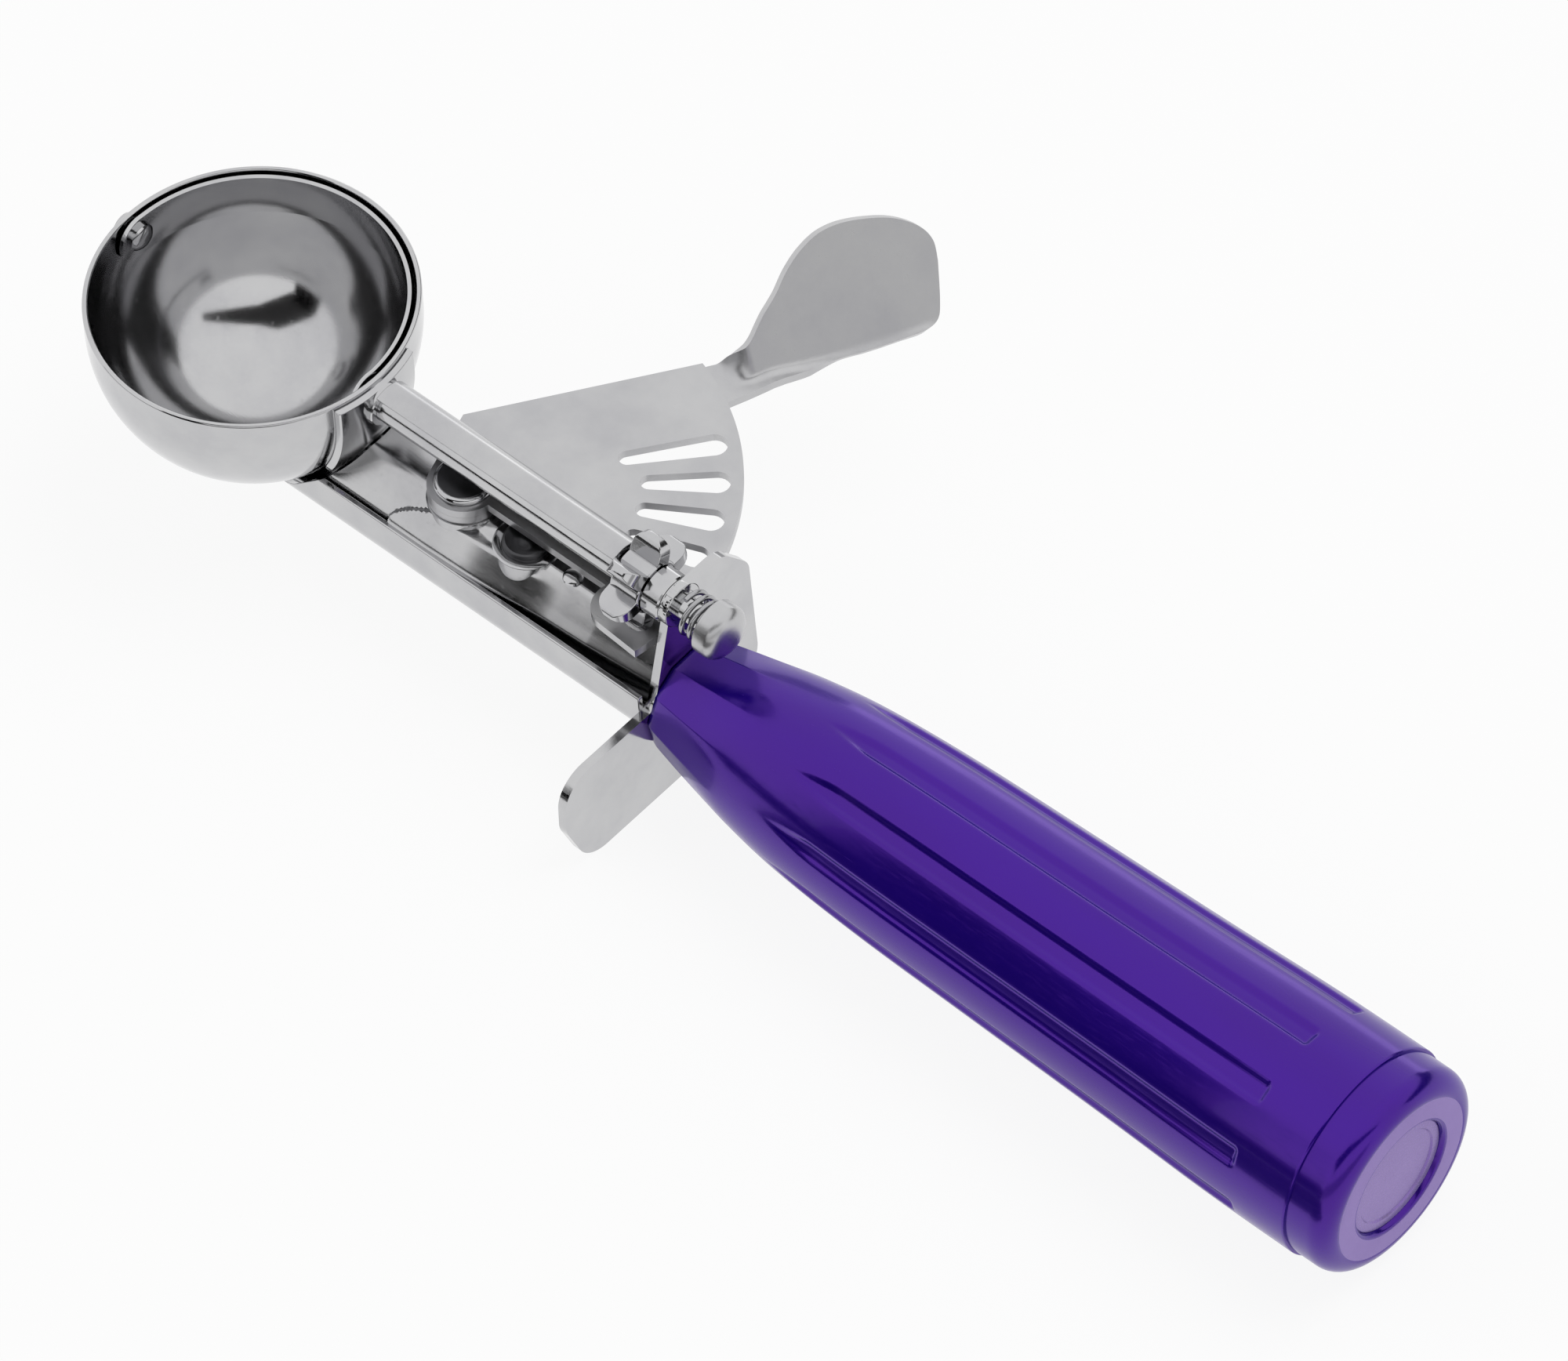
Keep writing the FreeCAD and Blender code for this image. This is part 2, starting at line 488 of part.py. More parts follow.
def pivot_plate_part():
    """Bent plate inside the channel: a flat web for the pivot, and a slope down to the near wall."""
    front = plate_section(SADDLE_RADIUS - 5, NEAR_GAP_FRONT)
    rear = plate_section(GUARD_X, NEAR_GAP_REAR)
    hat = Part.makeLoft([front, rear], True, True)
    pads = [post(PIVOT_X, 0, SLOPE_FOOT_Z + 1, WEB_TOP, BOSS_RADIUS),
            post(BRACE_X, BRACE_Y, SLOPE_FOOT_Z + 1, WEB_TOP, BRACE_RING_RADIUS)]
    hollows = [post(PIVOT_X, 0, SLOPE_FOOT_Z, WEB_BOTTOM, BOSS_RADIUS - PLATE_WALL),
               post(BRACE_X, BRACE_Y, SLOPE_FOOT_Z, WEB_BOTTOM, BRACE_RING_RADIUS - PLATE_WALL)]
    plate = hat.fuse(pads).cut(hollows)
    clear_pinion = box(WEB_END_X, GUARD_X + 1, WEB_NEAR_Y - 1.5, BIG, SLOPE_FOOT_Z, 0)
    cuts = [clear_pinion, bowl_form(SADDLE_RADIUS, 10)]
    cuts.append(post(PIVOT_X, 0, WEB_BOTTOM - 1, WEB_TOP + 1, RIVET_RADIUS))
    cuts.append(post(BRACE_X, BRACE_Y, WEB_BOTTOM - 1, WEB_TOP + 1, BRACE_STEM_RADIUS))
    cuts.append(post(DIMPLE_X, DIMPLE_Y, WEB_BOTTOM - 1, WEB_TOP + 1, DIMPLE_RADIUS / 2))
    return plate.cut(cuts).removeSplitter()


def brace_parts():
    """Flat rivet and ring behind the pivot, and the small rivet beyond them."""
    stem = post(BRACE_X, BRACE_Y, WEB_BOTTOM, WEB_TOP, BRACE_STEM_RADIUS)
    disc = post(BRACE_X, BRACE_Y, WEB_TOP, WEB_TOP + BRACE_HEIGHT, BRACE_DISC_RADIUS)
    tail = post(BRACE_X, BRACE_Y, WEB_BOTTOM - BRACE_RING_HEIGHT, WEB_BOTTOM, BRACE_DISC_RADIUS - 0.6)
    ring = post(BRACE_X, BRACE_Y, WEB_TOP, WEB_TOP + BRACE_RING_HEIGHT, BRACE_RING_RADIUS)
    ring = ring.cut(post(BRACE_X, BRACE_Y, WEB_TOP - 1, WEB_TOP + 2, BRACE_DISC_RADIUS))
    small = post(DIMPLE_X, DIMPLE_Y, WEB_BOTTOM, WEB_TOP, DIMPLE_RADIUS / 2)
    small_head = post(DIMPLE_X, DIMPLE_Y, WEB_TOP, WEB_TOP + DIMPLE_RADIUS / 2, DIMPLE_RADIUS)
    return {"brace_rivet": stem.fuse([disc, tail]).removeSplitter(), "brace_washer": ring,
            "small_rivet": small.fuse(small_head).removeSplitter()}


def guard_outline():
    """Guard plate's outline in Y and Z, with rounded corners as arcs."""
    corners = [(GUARD_NEAR_TOP_Y, GUARD_TOP, 1.0), (7.2, GUARD_TOP, 4.0), (GUARD_FAR_Y, -6.5, 4.0),
               (GUARD_FAR_Y + 0.8, -24.0, 5.0), (5.5, GUARD_BOTTOM, 7.0), (-18.6, GUARD_BOTTOM, 5.0),
               (-TONGUE_REACH, -26.0, 5.0), (-TONGUE_REACH + 0.2, TONGUE_TOP, 4.4),
               (GUARD_NEAR_LOW_Y, TONGUE_TOP, 1.6)]
    edges = []
    ends = []
    count = len(corners)
    for index in range(count):
        y, z, radius = corners[index]
        here = V(GUARD_X, y, z)
        before = V(GUARD_X, corners[index - 1][0], corners[index - 1][1])
        after = V(GUARD_X, corners[(index + 1) % count][0], corners[(index + 1) % count][1])
        back = (before - here).normalize()
        ahead = (after - here).normalize()
        half = back.getAngle(ahead) / 2
        reach = radius / math.tan(half)
        bisector = (back + ahead).normalize()
        centre = here + bisector * (radius / math.sin(half))
        start = here + back * reach
        finish = here + ahead * reach
        edges.append(Part.Arc(start, centre - bisector * radius, finish).toShape())
        ends.append((start, finish))
    for index in range(count):
        edges.append(Part.makeLine(ends[index - 1][1], ends[index][0]))
    return Part.Wire(Part.__sortEdges__(edges))


def guard_parts():
    """Guard plate with its finger tongue, and the rear bearing in it."""
    plate = Part.Face(guard_outline()).extrude(V(GUARD_THICKNESS, 0, 0))
    bearing_outer = BEARING_BORE + REAR_BEARING_WALL
    tang_hole = box(GUARD_X - 1, GUARD_REAR_X + 1, -TANG_WIDTH / 2, TANG_WIDTH / 2, SHANK_FLOOR,
                    SHANK_FLOOR + TANG_THICKNESS)
    plate = plate.cut([rod(0, BIG, bearing_outer), tang_hole])
    bearing = rod(GUARD_X, GUARD_REAR_X, bearing_outer).cut(rod(0, BIG, BEARING_BORE))
    return {"guard_plate": plate, "rear_bearing": bearing}


def tang_parts():
    """Flat tang from the channel's floor into the grip, and the rivets that hold it."""
    tang = box(GUARD_X - TANG_IN_SHANK, TANG_END_X, -TANG_WIDTH / 2, TANG_WIDTH / 2, SHANK_FLOOR,
               SHANK_FLOOR + TANG_THICKNESS)
    rivets = []
    for x in SHANK_RIVET_PLACES:
        top = SHANK_FLOOR + TANG_THICKNESS
        stem = post(x, 0, SHANK_BOTTOM, top, SHANK_RIVET_RADIUS)
        low = post(x, 0, SHANK_BOTTOM - SHANK_RIVET_HEAD_HEIGHT, SHANK_BOTTOM, SHANK_RIVET_HEAD)
        high = post(x, 0, top, top + SHANK_RIVET_HEAD_HEIGHT, SHANK_RIVET_HEAD)
        rivets.append(stem.fuse([low, high]).removeSplitter())
        tang = tang.cut(post(x, 0, SHANK_FLOOR - 1, top + 1, SHANK_RIVET_RADIUS))
    return {"tang": tang, "shank_rivets": Part.makeCompound(rivets)}


def handle_radius(place):
    """Grip's radius at a place along it, between the stations of its outline."""
    for (low, low_radius), (high, high_radius) in zip(GRIP_LINE, GRIP_LINE[1:]):
        if low <= place <= high:
            return low_radius + (high_radius - low_radius) * (place - low) / (high - low)
    return GRIP_LINE[-1][1]


def flute_cutter(angle):
    """Round-ended bar, lying along the grip's taper, that cuts one flute."""
    start_r = handle_radius(FLUTE_FROM) - FLUTE_DEPTH + FLUTE_RADIUS
    end_r = handle_radius(FLUTE_TO) - FLUTE_DEPTH + FLUTE_RADIUS
    path = V(FLUTE_TO - FLUTE_FROM, 0, end_r - start_r)
    long = path.Length
    turn = FLUTE_RADIUS * math.sqrt(0.5)
    first = V(-FLUTE_RADIUS, 0, 0)
    last = V(long + FLUTE_RADIUS, 0, 0)
    side_a = V(0, FLUTE_RADIUS, 0)
    side_b = V(long, FLUTE_RADIUS, 0)
    edges = [Part.Arc(first, V(-turn, turn, 0), side_a).toShape(), Part.makeLine(side_a, side_b),
             Part.Arc(side_b, V(long + turn, turn, 0), last).toShape(), Part.makeLine(last, first)]
    bar = Part.Face(Part.Wire(edges)).revolve(V(0, 0, 0), V(1, 0, 0), 360)
    bar.rotate(V(0, 0, 0), V(0, -1, 0), math.degrees(math.atan2(path.z, path.x)))
    bar.translate(V(GUARD_REAR_X + FLUTE_FROM, 0, start_r))
    bar.rotate(V(0, 0, 0), V(1, 0, 0), angle)
    return bar


def handle_parts():
    """Moulded grip with its flutes, ring step and butt recess, and the disc in the recess."""
    def at(x, radius):
        """Point of the grip's profile."""
        return V(x, 0, radius)
    front = GUARD_REAR_X
    end_r = GRIP_LINE[-1][1]
    turn = BUTT_FILLET * (1 - math.sqrt(0.5))
    line = Part.BSplineCurve()
    line.interpolate([at(front + place, radius) for place, radius in GRIP_LINE])
    edges = [Part.makeLine(at(front, 0), at(front, GRIP_LINE[0][1])), line.toShape(),
             Part.makeLine(at(HANDLE_RING_X, end_r), at(HANDLE_RING_X, end_r - HANDLE_STEP)),
             Part.makeLine(at(HANDLE_RING_X, end_r - HANDLE_STEP),
                           at(HANDLE_END_X - BUTT_FILLET, end_r - HANDLE_STEP)),
             Part.Arc(at(HANDLE_END_X - BUTT_FILLET, end_r - HANDLE_STEP),
                      at(HANDLE_END_X - turn, end_r - HANDLE_STEP - turn),
                      at(HANDLE_END_X, end_r - HANDLE_STEP - BUTT_FILLET)).toShape(),
             Part.makeLine(at(HANDLE_END_X, end_r - HANDLE_STEP - BUTT_FILLET),
                           at(HANDLE_END_X, BUTT_RECESS_RADIUS)),
             Part.makeLine(at(HANDLE_END_X, BUTT_RECESS_RADIUS),
                           at(HANDLE_END_X - BUTT_RECESS_DEPTH, BUTT_RECESS_RADIUS)),
             Part.makeLine(at(HANDLE_END_X - BUTT_RECESS_DEPTH, BUTT_RECESS_RADIUS),
                           at(HANDLE_END_X - BUTT_RECESS_DEPTH, 0)),
             Part.makeLine(at(HANDLE_END_X - BUTT_RECESS_DEPTH, 0), at(front, 0))]
    grip = Part.Face(Part.Wire(edges)).revolve(V(0, 0, 0), V(1, 0, 0), 360)
    flutes = [flute_cutter(FLUTE_PHASE_DEG + step * 360.0 / FLUTE_COUNT) for step in range(FLUTE_COUNT)]
    grip = grip.cut(flutes)
    grip.translate(V(0, 0, HANDLE_AXIS_Z))
    tang_room = box(GUARD_X, TANG_END_X + TANG_FIT, -TANG_WIDTH / 2, TANG_WIDTH / 2, SHANK_FLOOR,
                    SHANK_FLOOR + TANG_THICKNESS)
    grip = grip.cut(tang_room)
    floor_x = HANDLE_END_X - BUTT_RECESS_DEPTH
    disc = rod(floor_x, floor_x + BUTT_DISC_THICKNESS, BUTT_RECESS_RADIUS, 0, HANDLE_AXIS_Z)
    return {"handle_grip": grip, "butt_disc": disc}


def spring_part():
    """Torsion spring wound round the shaft's tail, as biarcs of a quarter turn each."""
    radius = SPRING_MEAN_RADIUS
    rise = SPRING_PITCH / 4
    steps = SPRING_TURNS * 4

    def place(turn):
        """Point and tangent of the coil at a count of quarter turns."""
        angle = turn * math.pi / 2
        spot = V(SPRING_START_X + SPRING_WIRE / 2 + rise * turn, radius * math.sin(angle),
                 AXIS_Z + radius * math.cos(angle))
        tangent = V(rise * 2 / math.pi, radius * math.cos(angle), -radius * math.sin(angle)).normalize()
        return spot, tangent
    edges = []
    first, first_tangent = place(0)
    edges.append(Part.makeLine(first - first_tangent * SPRING_WIRE, first))
    points = [first]
    for index in range(steps):
        a, ta = place(index)
        b, tb = place(index + 1)
        arms = ta + tb
        chord = b - a
        quad = arms.dot(arms) - 4
        lin = -2 * chord.dot(arms)
        size = (-lin - math.sqrt(lin ** 2 - 4 * quad * chord.dot(chord))) / (2 * quad)
        p = a + ta * size
        q = b - tb * size
        join = (p + q) * 0.5
        for start, start_tangent, finish in ((a, ta, join), (join, (q - p).normalize(), b)):
            straight = finish - start
            normal = straight - start_tangent * straight.dot(start_tangent)
            bow = straight.dot(straight) / (2 * normal.Length)
            centre = start + normal.normalize() * bow
            mid = centre + ((start + finish) * 0.5 - centre).normalize() * bow
            edges.append(Part.Arc(start, mid, finish).toShape())
        points.append(join)
        points.append(b)
    last, last_tangent = place(steps)
    edges.append(Part.makeLine(last, last + last_tangent * SPRING_WIRE))
    section = Part.Wire([Part.makeCircle(SPRING_WIRE / 2, first - first_tangent * SPRING_WIRE, first_tangent)])
    spring = Part.Wire(edges).makePipeShell([section], True, False)
    per_turn = len(points) // SPRING_TURNS
    gaps = []
    for i, p in enumerate(points):
        for q in points[i + per_turn - 2:]:
            gaps.append((p - q).Length - SPRING_WIRE)
    print("return spring: least gap between turns %.2f mm" % min(gaps))
    return {"return_spring": spring}


def all_parts():
    """Every sub-part by its node name."""
    parts = {}
    parts.update(bowl_parts())
    parts.update(blade_parts())
    parts.update(shaft_parts())
    parts["shaft_cover"] = cover_part()
    parts["sector_plate"] = sector_part()
    parts["thumb_lever"] = lever_part()
    parts.update(pivot_parts())
    parts["shank_channel"] = shank_part()
    parts["pivot_plate"] = pivot_plate_part()
    parts.update(brace_parts())
    parts.update(guard_parts())
    parts.update(tang_parts())
    parts.update(handle_parts())
    parts.update(spring_part())
    return parts


def footprint_shift(parts):
    """Move that puts the origin in the middle of the whole part's footprint."""
    whole = Part.makeCompound(list(parts.values())).optimalBoundingBox(False)
    return V(-whole.Center.x, -whole.Center.y, -whole.ZMin)


os.makedirs("parts", exist_ok=True)
PARTS = all_parts()
SHIFT = footprint_shift(PARTS)
print("shift %.4f %.4f %.4f" % (SHIFT.x, SHIFT.y, SHIFT.z))
for name, shape in PARTS.items():
    shape.translate(SHIFT)
    shape.exportStep("parts/%s.step" % name)
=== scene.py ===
"""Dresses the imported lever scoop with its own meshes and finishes, and sets the studio and the camera."""
import logging
import math
from collections.abc import Callable, Sequence
from dataclasses import dataclass, field
from enum import Enum

import bmesh
import bpy
from mathutils import Matrix, Vector
from mathutils.geometry import tessellate_polygon


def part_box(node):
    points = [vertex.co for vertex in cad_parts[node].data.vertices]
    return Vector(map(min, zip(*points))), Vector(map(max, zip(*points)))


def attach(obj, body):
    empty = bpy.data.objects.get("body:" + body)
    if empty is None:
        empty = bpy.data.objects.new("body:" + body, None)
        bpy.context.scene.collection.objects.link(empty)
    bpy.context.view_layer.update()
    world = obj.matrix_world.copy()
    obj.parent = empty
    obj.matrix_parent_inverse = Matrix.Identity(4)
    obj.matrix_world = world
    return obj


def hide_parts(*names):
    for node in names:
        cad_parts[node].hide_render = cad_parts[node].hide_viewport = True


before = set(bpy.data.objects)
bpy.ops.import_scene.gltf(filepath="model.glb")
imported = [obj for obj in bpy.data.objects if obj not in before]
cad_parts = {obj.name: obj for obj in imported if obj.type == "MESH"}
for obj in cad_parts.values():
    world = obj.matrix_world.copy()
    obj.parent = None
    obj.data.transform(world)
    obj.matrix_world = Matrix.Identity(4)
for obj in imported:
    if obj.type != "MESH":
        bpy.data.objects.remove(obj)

LOG = logging.getLogger("scoop")
Pair = tuple[float, float]
Triple = tuple[float, float, float]
Colour = tuple[float, float, float, float]
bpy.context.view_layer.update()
MM = 0.001
# Points nearer than this many metres are one
SAME_POINT = 2e-6
# Height of the shaft's line, and the pivot's and the guard's places along it, in millimetres
SHAFT_Z = -3.5
PIVOT_X = 34.2
GUARD_X = 68.3
# Edges that turn by more than this many degrees get softened
EDGE_ANGLE = 40.0
WHITE: Colour = (1.0, 1.0, 1.0, 1.0)


class Body(str, Enum):
    """The three rigid bodies of the scoop."""

    FRAME = "frame"
    SCRAPER = "scraper"
    LEVER = "lever"


class Slot(str, Enum):
    """The record's finishes."""

    POLISHED = "polished_steel"
    SATIN = "satin_steel"
    SPRING = "spring_steel"
    BUSH = "brass_bush"
    GRIP = "violet_grip"
    BUTT = "butt_disc"


class Look(str, Enum):
    """Finishes of single pieces that look unlike the rest of their slot."""

    # Painted dark reflection: a dark steel tone in place of the cover's dark inside reflected in the rivet
    # heads
    PAINTED_DARK_REFLECTION = "painted_dark_reflection_steel"
    BRUSHED = "brushed_steel"
    # Painted reflection: a lighter violet in place of the strong reflection on the handle's end face
    PAINTED_REFLECTION = "painted_reflection_violet"


class Axis(Enum):
    """Line that a turned piece is turned about."""

    ALONG = "x"
    UP = "z"


def rim_centre() -> Vector:
    """Middle of the bowl's rim in metres, the point that every size here is measured from."""
    low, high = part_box("scoop_bowl")
    return Vector(((low.x + high.x) / 2, (low.y + high.y) / 2, high.z))


HOME = rim_centre()


def place(x: float, y: float, z: float) -> Vector:
    """Point in metres of a point given in millimetres from the rim's centre."""
    return HOME + Vector((x, y, z)) * MM


def linked(name: str, data: bpy.types.ID) -> bpy.types.Object:
    """Object of some data, put in the scene.

    Args:
        name: Its name.
        data: Its mesh, curve, lamp or camera.

    Returns:
        The object.
    """
    thing = bpy.data.objects.new(name, data)
    bpy.context.scene.collection.objects.link(thing)
    return thing


def smooth_faces(data: bpy.types.Mesh) -> None:
    """Shades every face of a mesh smooth."""
    data.polygons.foreach_set("use_smooth", [True] * len(data.polygons))


def polar(radius: float, degrees: float) -> Pair:
    """Point of a circle about the origin."""
    turn = math.radians(degrees)
    return radius * math.cos(turn), radius * math.sin(turn)


def arc(centre: Pair, radius: float, start: float, end: float, steps: int) -> list[Pair]:
    """Points of an arc, both ends included.

    Args:
        centre: Middle of the arc.
        radius: Its radius.
        start: First angle in degrees.
        end: Last angle in degrees.
        steps: Number of chords.

    Returns:
        The points in order.
    """
    found = []
    for index in range(steps + 1):
        x, y = polar(radius, start + (end - start) * index / steps)
        found.append((centre[0] + x, centre[1] + y))
    return found


def rounded(corners: Sequence[Triple], closed: bool = True, steps: int = 6) -> list[Pair]:
    """Line through corners, each turned by an arc of its own radius.

    Args:
        corners: Each corner's two coordinates and its radius.
        closed: Whether the last corner leads back to the first.
        steps: Number of chords in each arc.

    Returns:
        The points of the line.
    """
    found: list[Pair] = []
    count = len(corners)
    for index, (x, y, radius) in enumerate(corners):
        here = Vector((x, y))
        if radius <= 0 or (not closed and index in (0, count - 1)):
            found.append((x, y))
            continue
        back = (Vector(corners[index - 1][:2]) - here).normalized()
        ahead = (Vector(corners[(index + 1) % count][:2]) - here).normalized()
        half = back.angle(ahead) / 2
        middle = (back + ahead).normalized()
        centre = here + middle * (radius / math.sin(half))
        first = here + back * (radius / math.tan(half)) - centre
        last = here + ahead * (radius / math.tan(half)) - centre
        sweep = math.atan2(first.x * last.y - first.y * last.x, first.dot(last))
        for step in range(steps + 1):
            turn = Matrix.Rotation(sweep * step / steps, 2)
            spot = centre + turn @ first
            found.append((spot.x, spot.y))
    return found


def smooth_line(stations: Sequence[Pair], count: int) -> list[Pair]:
    """Smooth line through stations.

    Args:
        stations: Points that the line passes through.
        count: Number of points wanted.

    Returns:
        Points spread evenly by station.
    """
    found = []
    last = len(stations) - 1
    for index in range(count):
        share = index / (count - 1) * last
        cell = min(int(share), last - 1)
        t = share - cell
        p0 = Vector(stations[max(cell - 1, 0)])
        p1 = Vector(stations[cell])
        p2 = Vector(stations[cell + 1])
        p3 = Vector(stations[min(cell + 2, last)])
        spot = (p1 * 2 + (p2 - p0) * t + (p0 * 2 - p1 * 5 + p2 * 4 - p3) * t * t
                + (p1 * 3 - p0 - p2 * 3 + p3) * t * t * t) / 2
        found.append((spot.x, spot.y))
    return found


def dense(line: Sequence[Pair], gap: float) -> list[Pair]:
    """Line with further points between its own.

    Args:
        line: The line's points.
        gap: The most that may lie between a point and the next.

    Returns:
        All its points.
    """
    found = [line[0]]
    for before, after in zip(line, line[1:]):
        first = Vector(before)
        last = Vector(after)
        steps = max(1, math.ceil((last - first).length / gap))
        for step in range(1, steps + 1):
            spot = first.lerp(last, step / steps)
            found.append((spot.x, spot.y))
    return found


def ease(share: float) -> float:
    """Smooth step from 0 at 0 to 1 at 1."""
    held = min(max(share, 0.0), 1.0)
    return held * held * (3 - 2 * held)


def read_off(stations: Sequence[Pair], x: float) -> float:
    """Value of a table, straight between its stations.

    Args:
        stations: Places and the values there.
        x: The place wanted.

    Returns:
        The value there.
    """
    for (x0, y0), (x1, y1) in zip(stations, stations[1:]):
        if x <= x1:
            share = max(0.0, (x - x0) / (x1 - x0))
            return y0 + (y1 - y0) * share
    return stations[-1][1]


@dataclass
class Mesh:
    """Points in millimetres from the rim's centre, and the faces between them."""

    points: list[Triple] = field(default_factory=list)
    faces: list[tuple[int, ...]] = field(default_factory=list)

    def grid(self, rows: Sequence[Sequence[Triple]], ring: bool = False, loop: bool = False) -> None:
        """Adds quads between rows of points.

        Args:
            rows: Rows of equal length.
            ring: Whether each row closes on itself.
            loop: Whether the last row joins the first.
        """
        base = len(self.points)
        wide = len(rows[0])
        for row in rows:
            self.points.extend(row)
        for i in range(len(rows) if loop else len(rows) - 1):
            for j in range(wide if ring else wide - 1):
                a = base + i * wide + j
                b = base + i * wide + (j + 1) % wide
                c = base + (i + 1) % len(rows) * wide + (j + 1) % wide
                d = base + (i + 1) % len(rows) * wide + j
                self.faces.append((a, b, c, d))

    def sheet(self, front: Sequence[Sequence[Triple]], back: Sequence[Sequence[Triple]]) -> None:
        """Adds a closed plate between two matching grids of points.

        Args:
            front: One side's rows.
            back: The other side's rows.
        """
        start = len(self.points)
        self.grid(front)
        middle = len(self.points)
        self.grid(back)
        tall = len(front)
        wide = len(front[0])
        border = list(range(wide))
        border += [i * wide + wide - 1 for i in range(1, tall)]
        border += [(tall - 1) * wide + j for j in range(wide - 2, -1, -1)]
        border += [i * wide for i in range(tall - 2, 0, -1)]
        for a, b in zip(border, border[1:] + border[:1]):
            self.faces.append((start + a, start + b, middle + b, middle + a))

    def turned(self, line: Sequence[Pair], axis: Axis, centre: Triple, segments: int, closed: bool) -> None:
        """Adds a turned form.

        Args:
            line: The profile, as places along the axis and radii.
            axis: The line it is turned about.
            centre: Point on that line.
            segments: Number of steps round.
            closed: Whether the profile is a ring's own closed section.
        """
        rows = []
        for along, radius in line:
            row = []
            for step in range(segments):
                p, q = polar(max(radius, 0.0), 360.0 * step / segments)
                if axis is Axis.ALONG:
                    row.append((centre[0] + along, centre[1] + p, centre[2] + q))
                else:
                    row.append((centre[0] + p, centre[1] + q, centre[2] + along))
            rows.append(row)
        self.grid(rows, ring=True, loop=closed)

    def made(self, name: str) -> bpy.types.Object:
        """Object of this mesh, its doubles merged and its faces turned outwards.

        Args:
            name: Its name.

        Returns:
            The object.
        """
        data = bpy.data.meshes.new(name)
        data.from_pydata([place(*p) for p in self.points], [], self.faces)
        shape = bmesh.new()
        shape.from_mesh(data)
        bmesh.ops.remove_doubles(shape, verts=shape.verts, dist=SAME_POINT)
        bmesh.ops.dissolve_degenerate(shape, edges=shape.edges, dist=SAME_POINT / 2)
        bmesh.ops.recalc_face_normals(shape, faces=shape.faces)
        shape.to_mesh(data)
        shape.free()
        smooth_faces(data)
        return linked(name, data)


def plate(mesh: Mesh, outline: Sequence[Pair], holes: Sequence[Sequence[Pair]], low: float, high: float,
          lay: Callable[[float, float, float], Triple]) -> None:
    """Adds a flat plate with holes.

    Args:
        mesh: The mesh it goes into.
        outline: Its outer line.
        holes: The lines of its holes.
        low: One face's height.
        high: The other face's height.
        lay: Puts a point of the plate's own plane and height in its place.
    """
    loops = [list(outline)] + [list(hole) for hole in holes]
    flat = [spot for loop in loops for spot in loop]
    triangles = tessellate_polygon([[Vector((x, y, 0)) for x, y in loop] for loop in loops])
    base = len(mesh.points)
    mesh.points.extend(lay(x, y, low) for x, y in flat)
    top = len(mesh.points)
    mesh.points.extend(lay(x, y, high) for x, y in flat)
    for a, b, c in triangles:
        mesh.faces.append((base + a, base + b, base + c))
        mesh.faces.append((top + c, top + b, top + a))
    start = 0
    for loop in loops:
        count = len(loop)
        for index in range(count):
            a = start + index
            b = start + (index + 1) % count
            mesh.faces.append((base + a, base + b, top + b, top + a))
        start += count


def swept(mesh: Mesh, line: Sequence[Pair], wall: float, start: Callable[[float, float], float],
          end: float, rows: int = 2, shift: Callable[[float, float, float], Pair] | None = None) -> None:
    """Adds a bent sheet whose section runs along the shaft.

    Args:
        mesh: The mesh it goes into.
        line: The section's middle line, across and up.
        wall: Its thickness.
        start: Gives the first place along the shaft for a point of the section.
        end: The last place along the shaft.
        rows: Number of stations.
        shift: Moves a point of the section by its place along the shaft.
    """
    sides: list[list[list[Triple]]] = []
    for sign in (1, -1):
        grid = []
        for index, (y, z) in enumerate(line):
            before = Vector(line[max(index - 1, 0)])
            after = Vector(line[min(index + 1, len(line) - 1)])
            along = (after - before).normalized()
            across = y - sign * wall / 2 * along.y
            up = z + sign * wall / 2 * along.x
            first = start(across, up)
            row = []
            for step in range(rows):
                x = first + (end - first) * step / (rows - 1)
                spot = shift(x, across, up) if shift else (across, up)
                row.append((x, spot[0], spot[1]))
            grid.append(row)
        sides.append(grid)
    mesh.sheet(sides[0], sides[1])


class Wire:
    """A node's output, with arithmetic that adds Math nodes."""

    def __init__(self, graph: "Graph", socket: bpy.types.NodeSocket) -> None:
        """Holds one output socket of a graph."""
        self.graph = graph
        self.socket = socket

    def math(self, operation: str, *others: "Wire | float", swap: bool = False) -> "Wire":
        """Result of a Math node.

        Args:
            operation: The node's operation.
            others: Its further inputs.
            swap: Whether the first two inputs change places.

        Returns:
            The node's output.
        """
        values: list[Wire | float] = [self, *others]
        if swap:
            values[0], values[1] = values[1], values[0]
        return self.graph.add("ShaderNodeMath", {"operation": operation}, dict(enumerate(values)))

    def __add__(self, other: "Wire | float") -> "Wire":
        """Sum."""
        return self.math("ADD", other)

    def __sub__(self, other: "Wire | float") -> "Wire":
        """Difference."""
        return self.math("SUBTRACT", other)

    def __rsub__(self, other: float) -> "Wire":
        """Difference from a number."""
        return self.math("SUBTRACT", other, swap=True)

    def __mul__(self, other: "Wire | float") -> "Wire":
        """Product."""
        return self.math("MULTIPLY", other)

    def __truediv__(self, other: "Wire | float") -> "Wire":
        """Quotient."""
        return self.math("DIVIDE", other)

    def __pow__(self, other: float) -> "Wire":
        """Power."""
        return self.math("POWER", other)

    __radd__ = __add__
    __rmul__ = __mul__

    def step(self, low: float, high: float) -> "Wire":
        """Smooth step from 0 at low to 1 at high."""
        return self.graph.add("ShaderNodeMapRange", {"interpolation_type": "SMOOTHSTEP"}, {
            "Value": self, "From Min": low, "From Max": high, "To Min": 0.0, "To Max": 1.0})


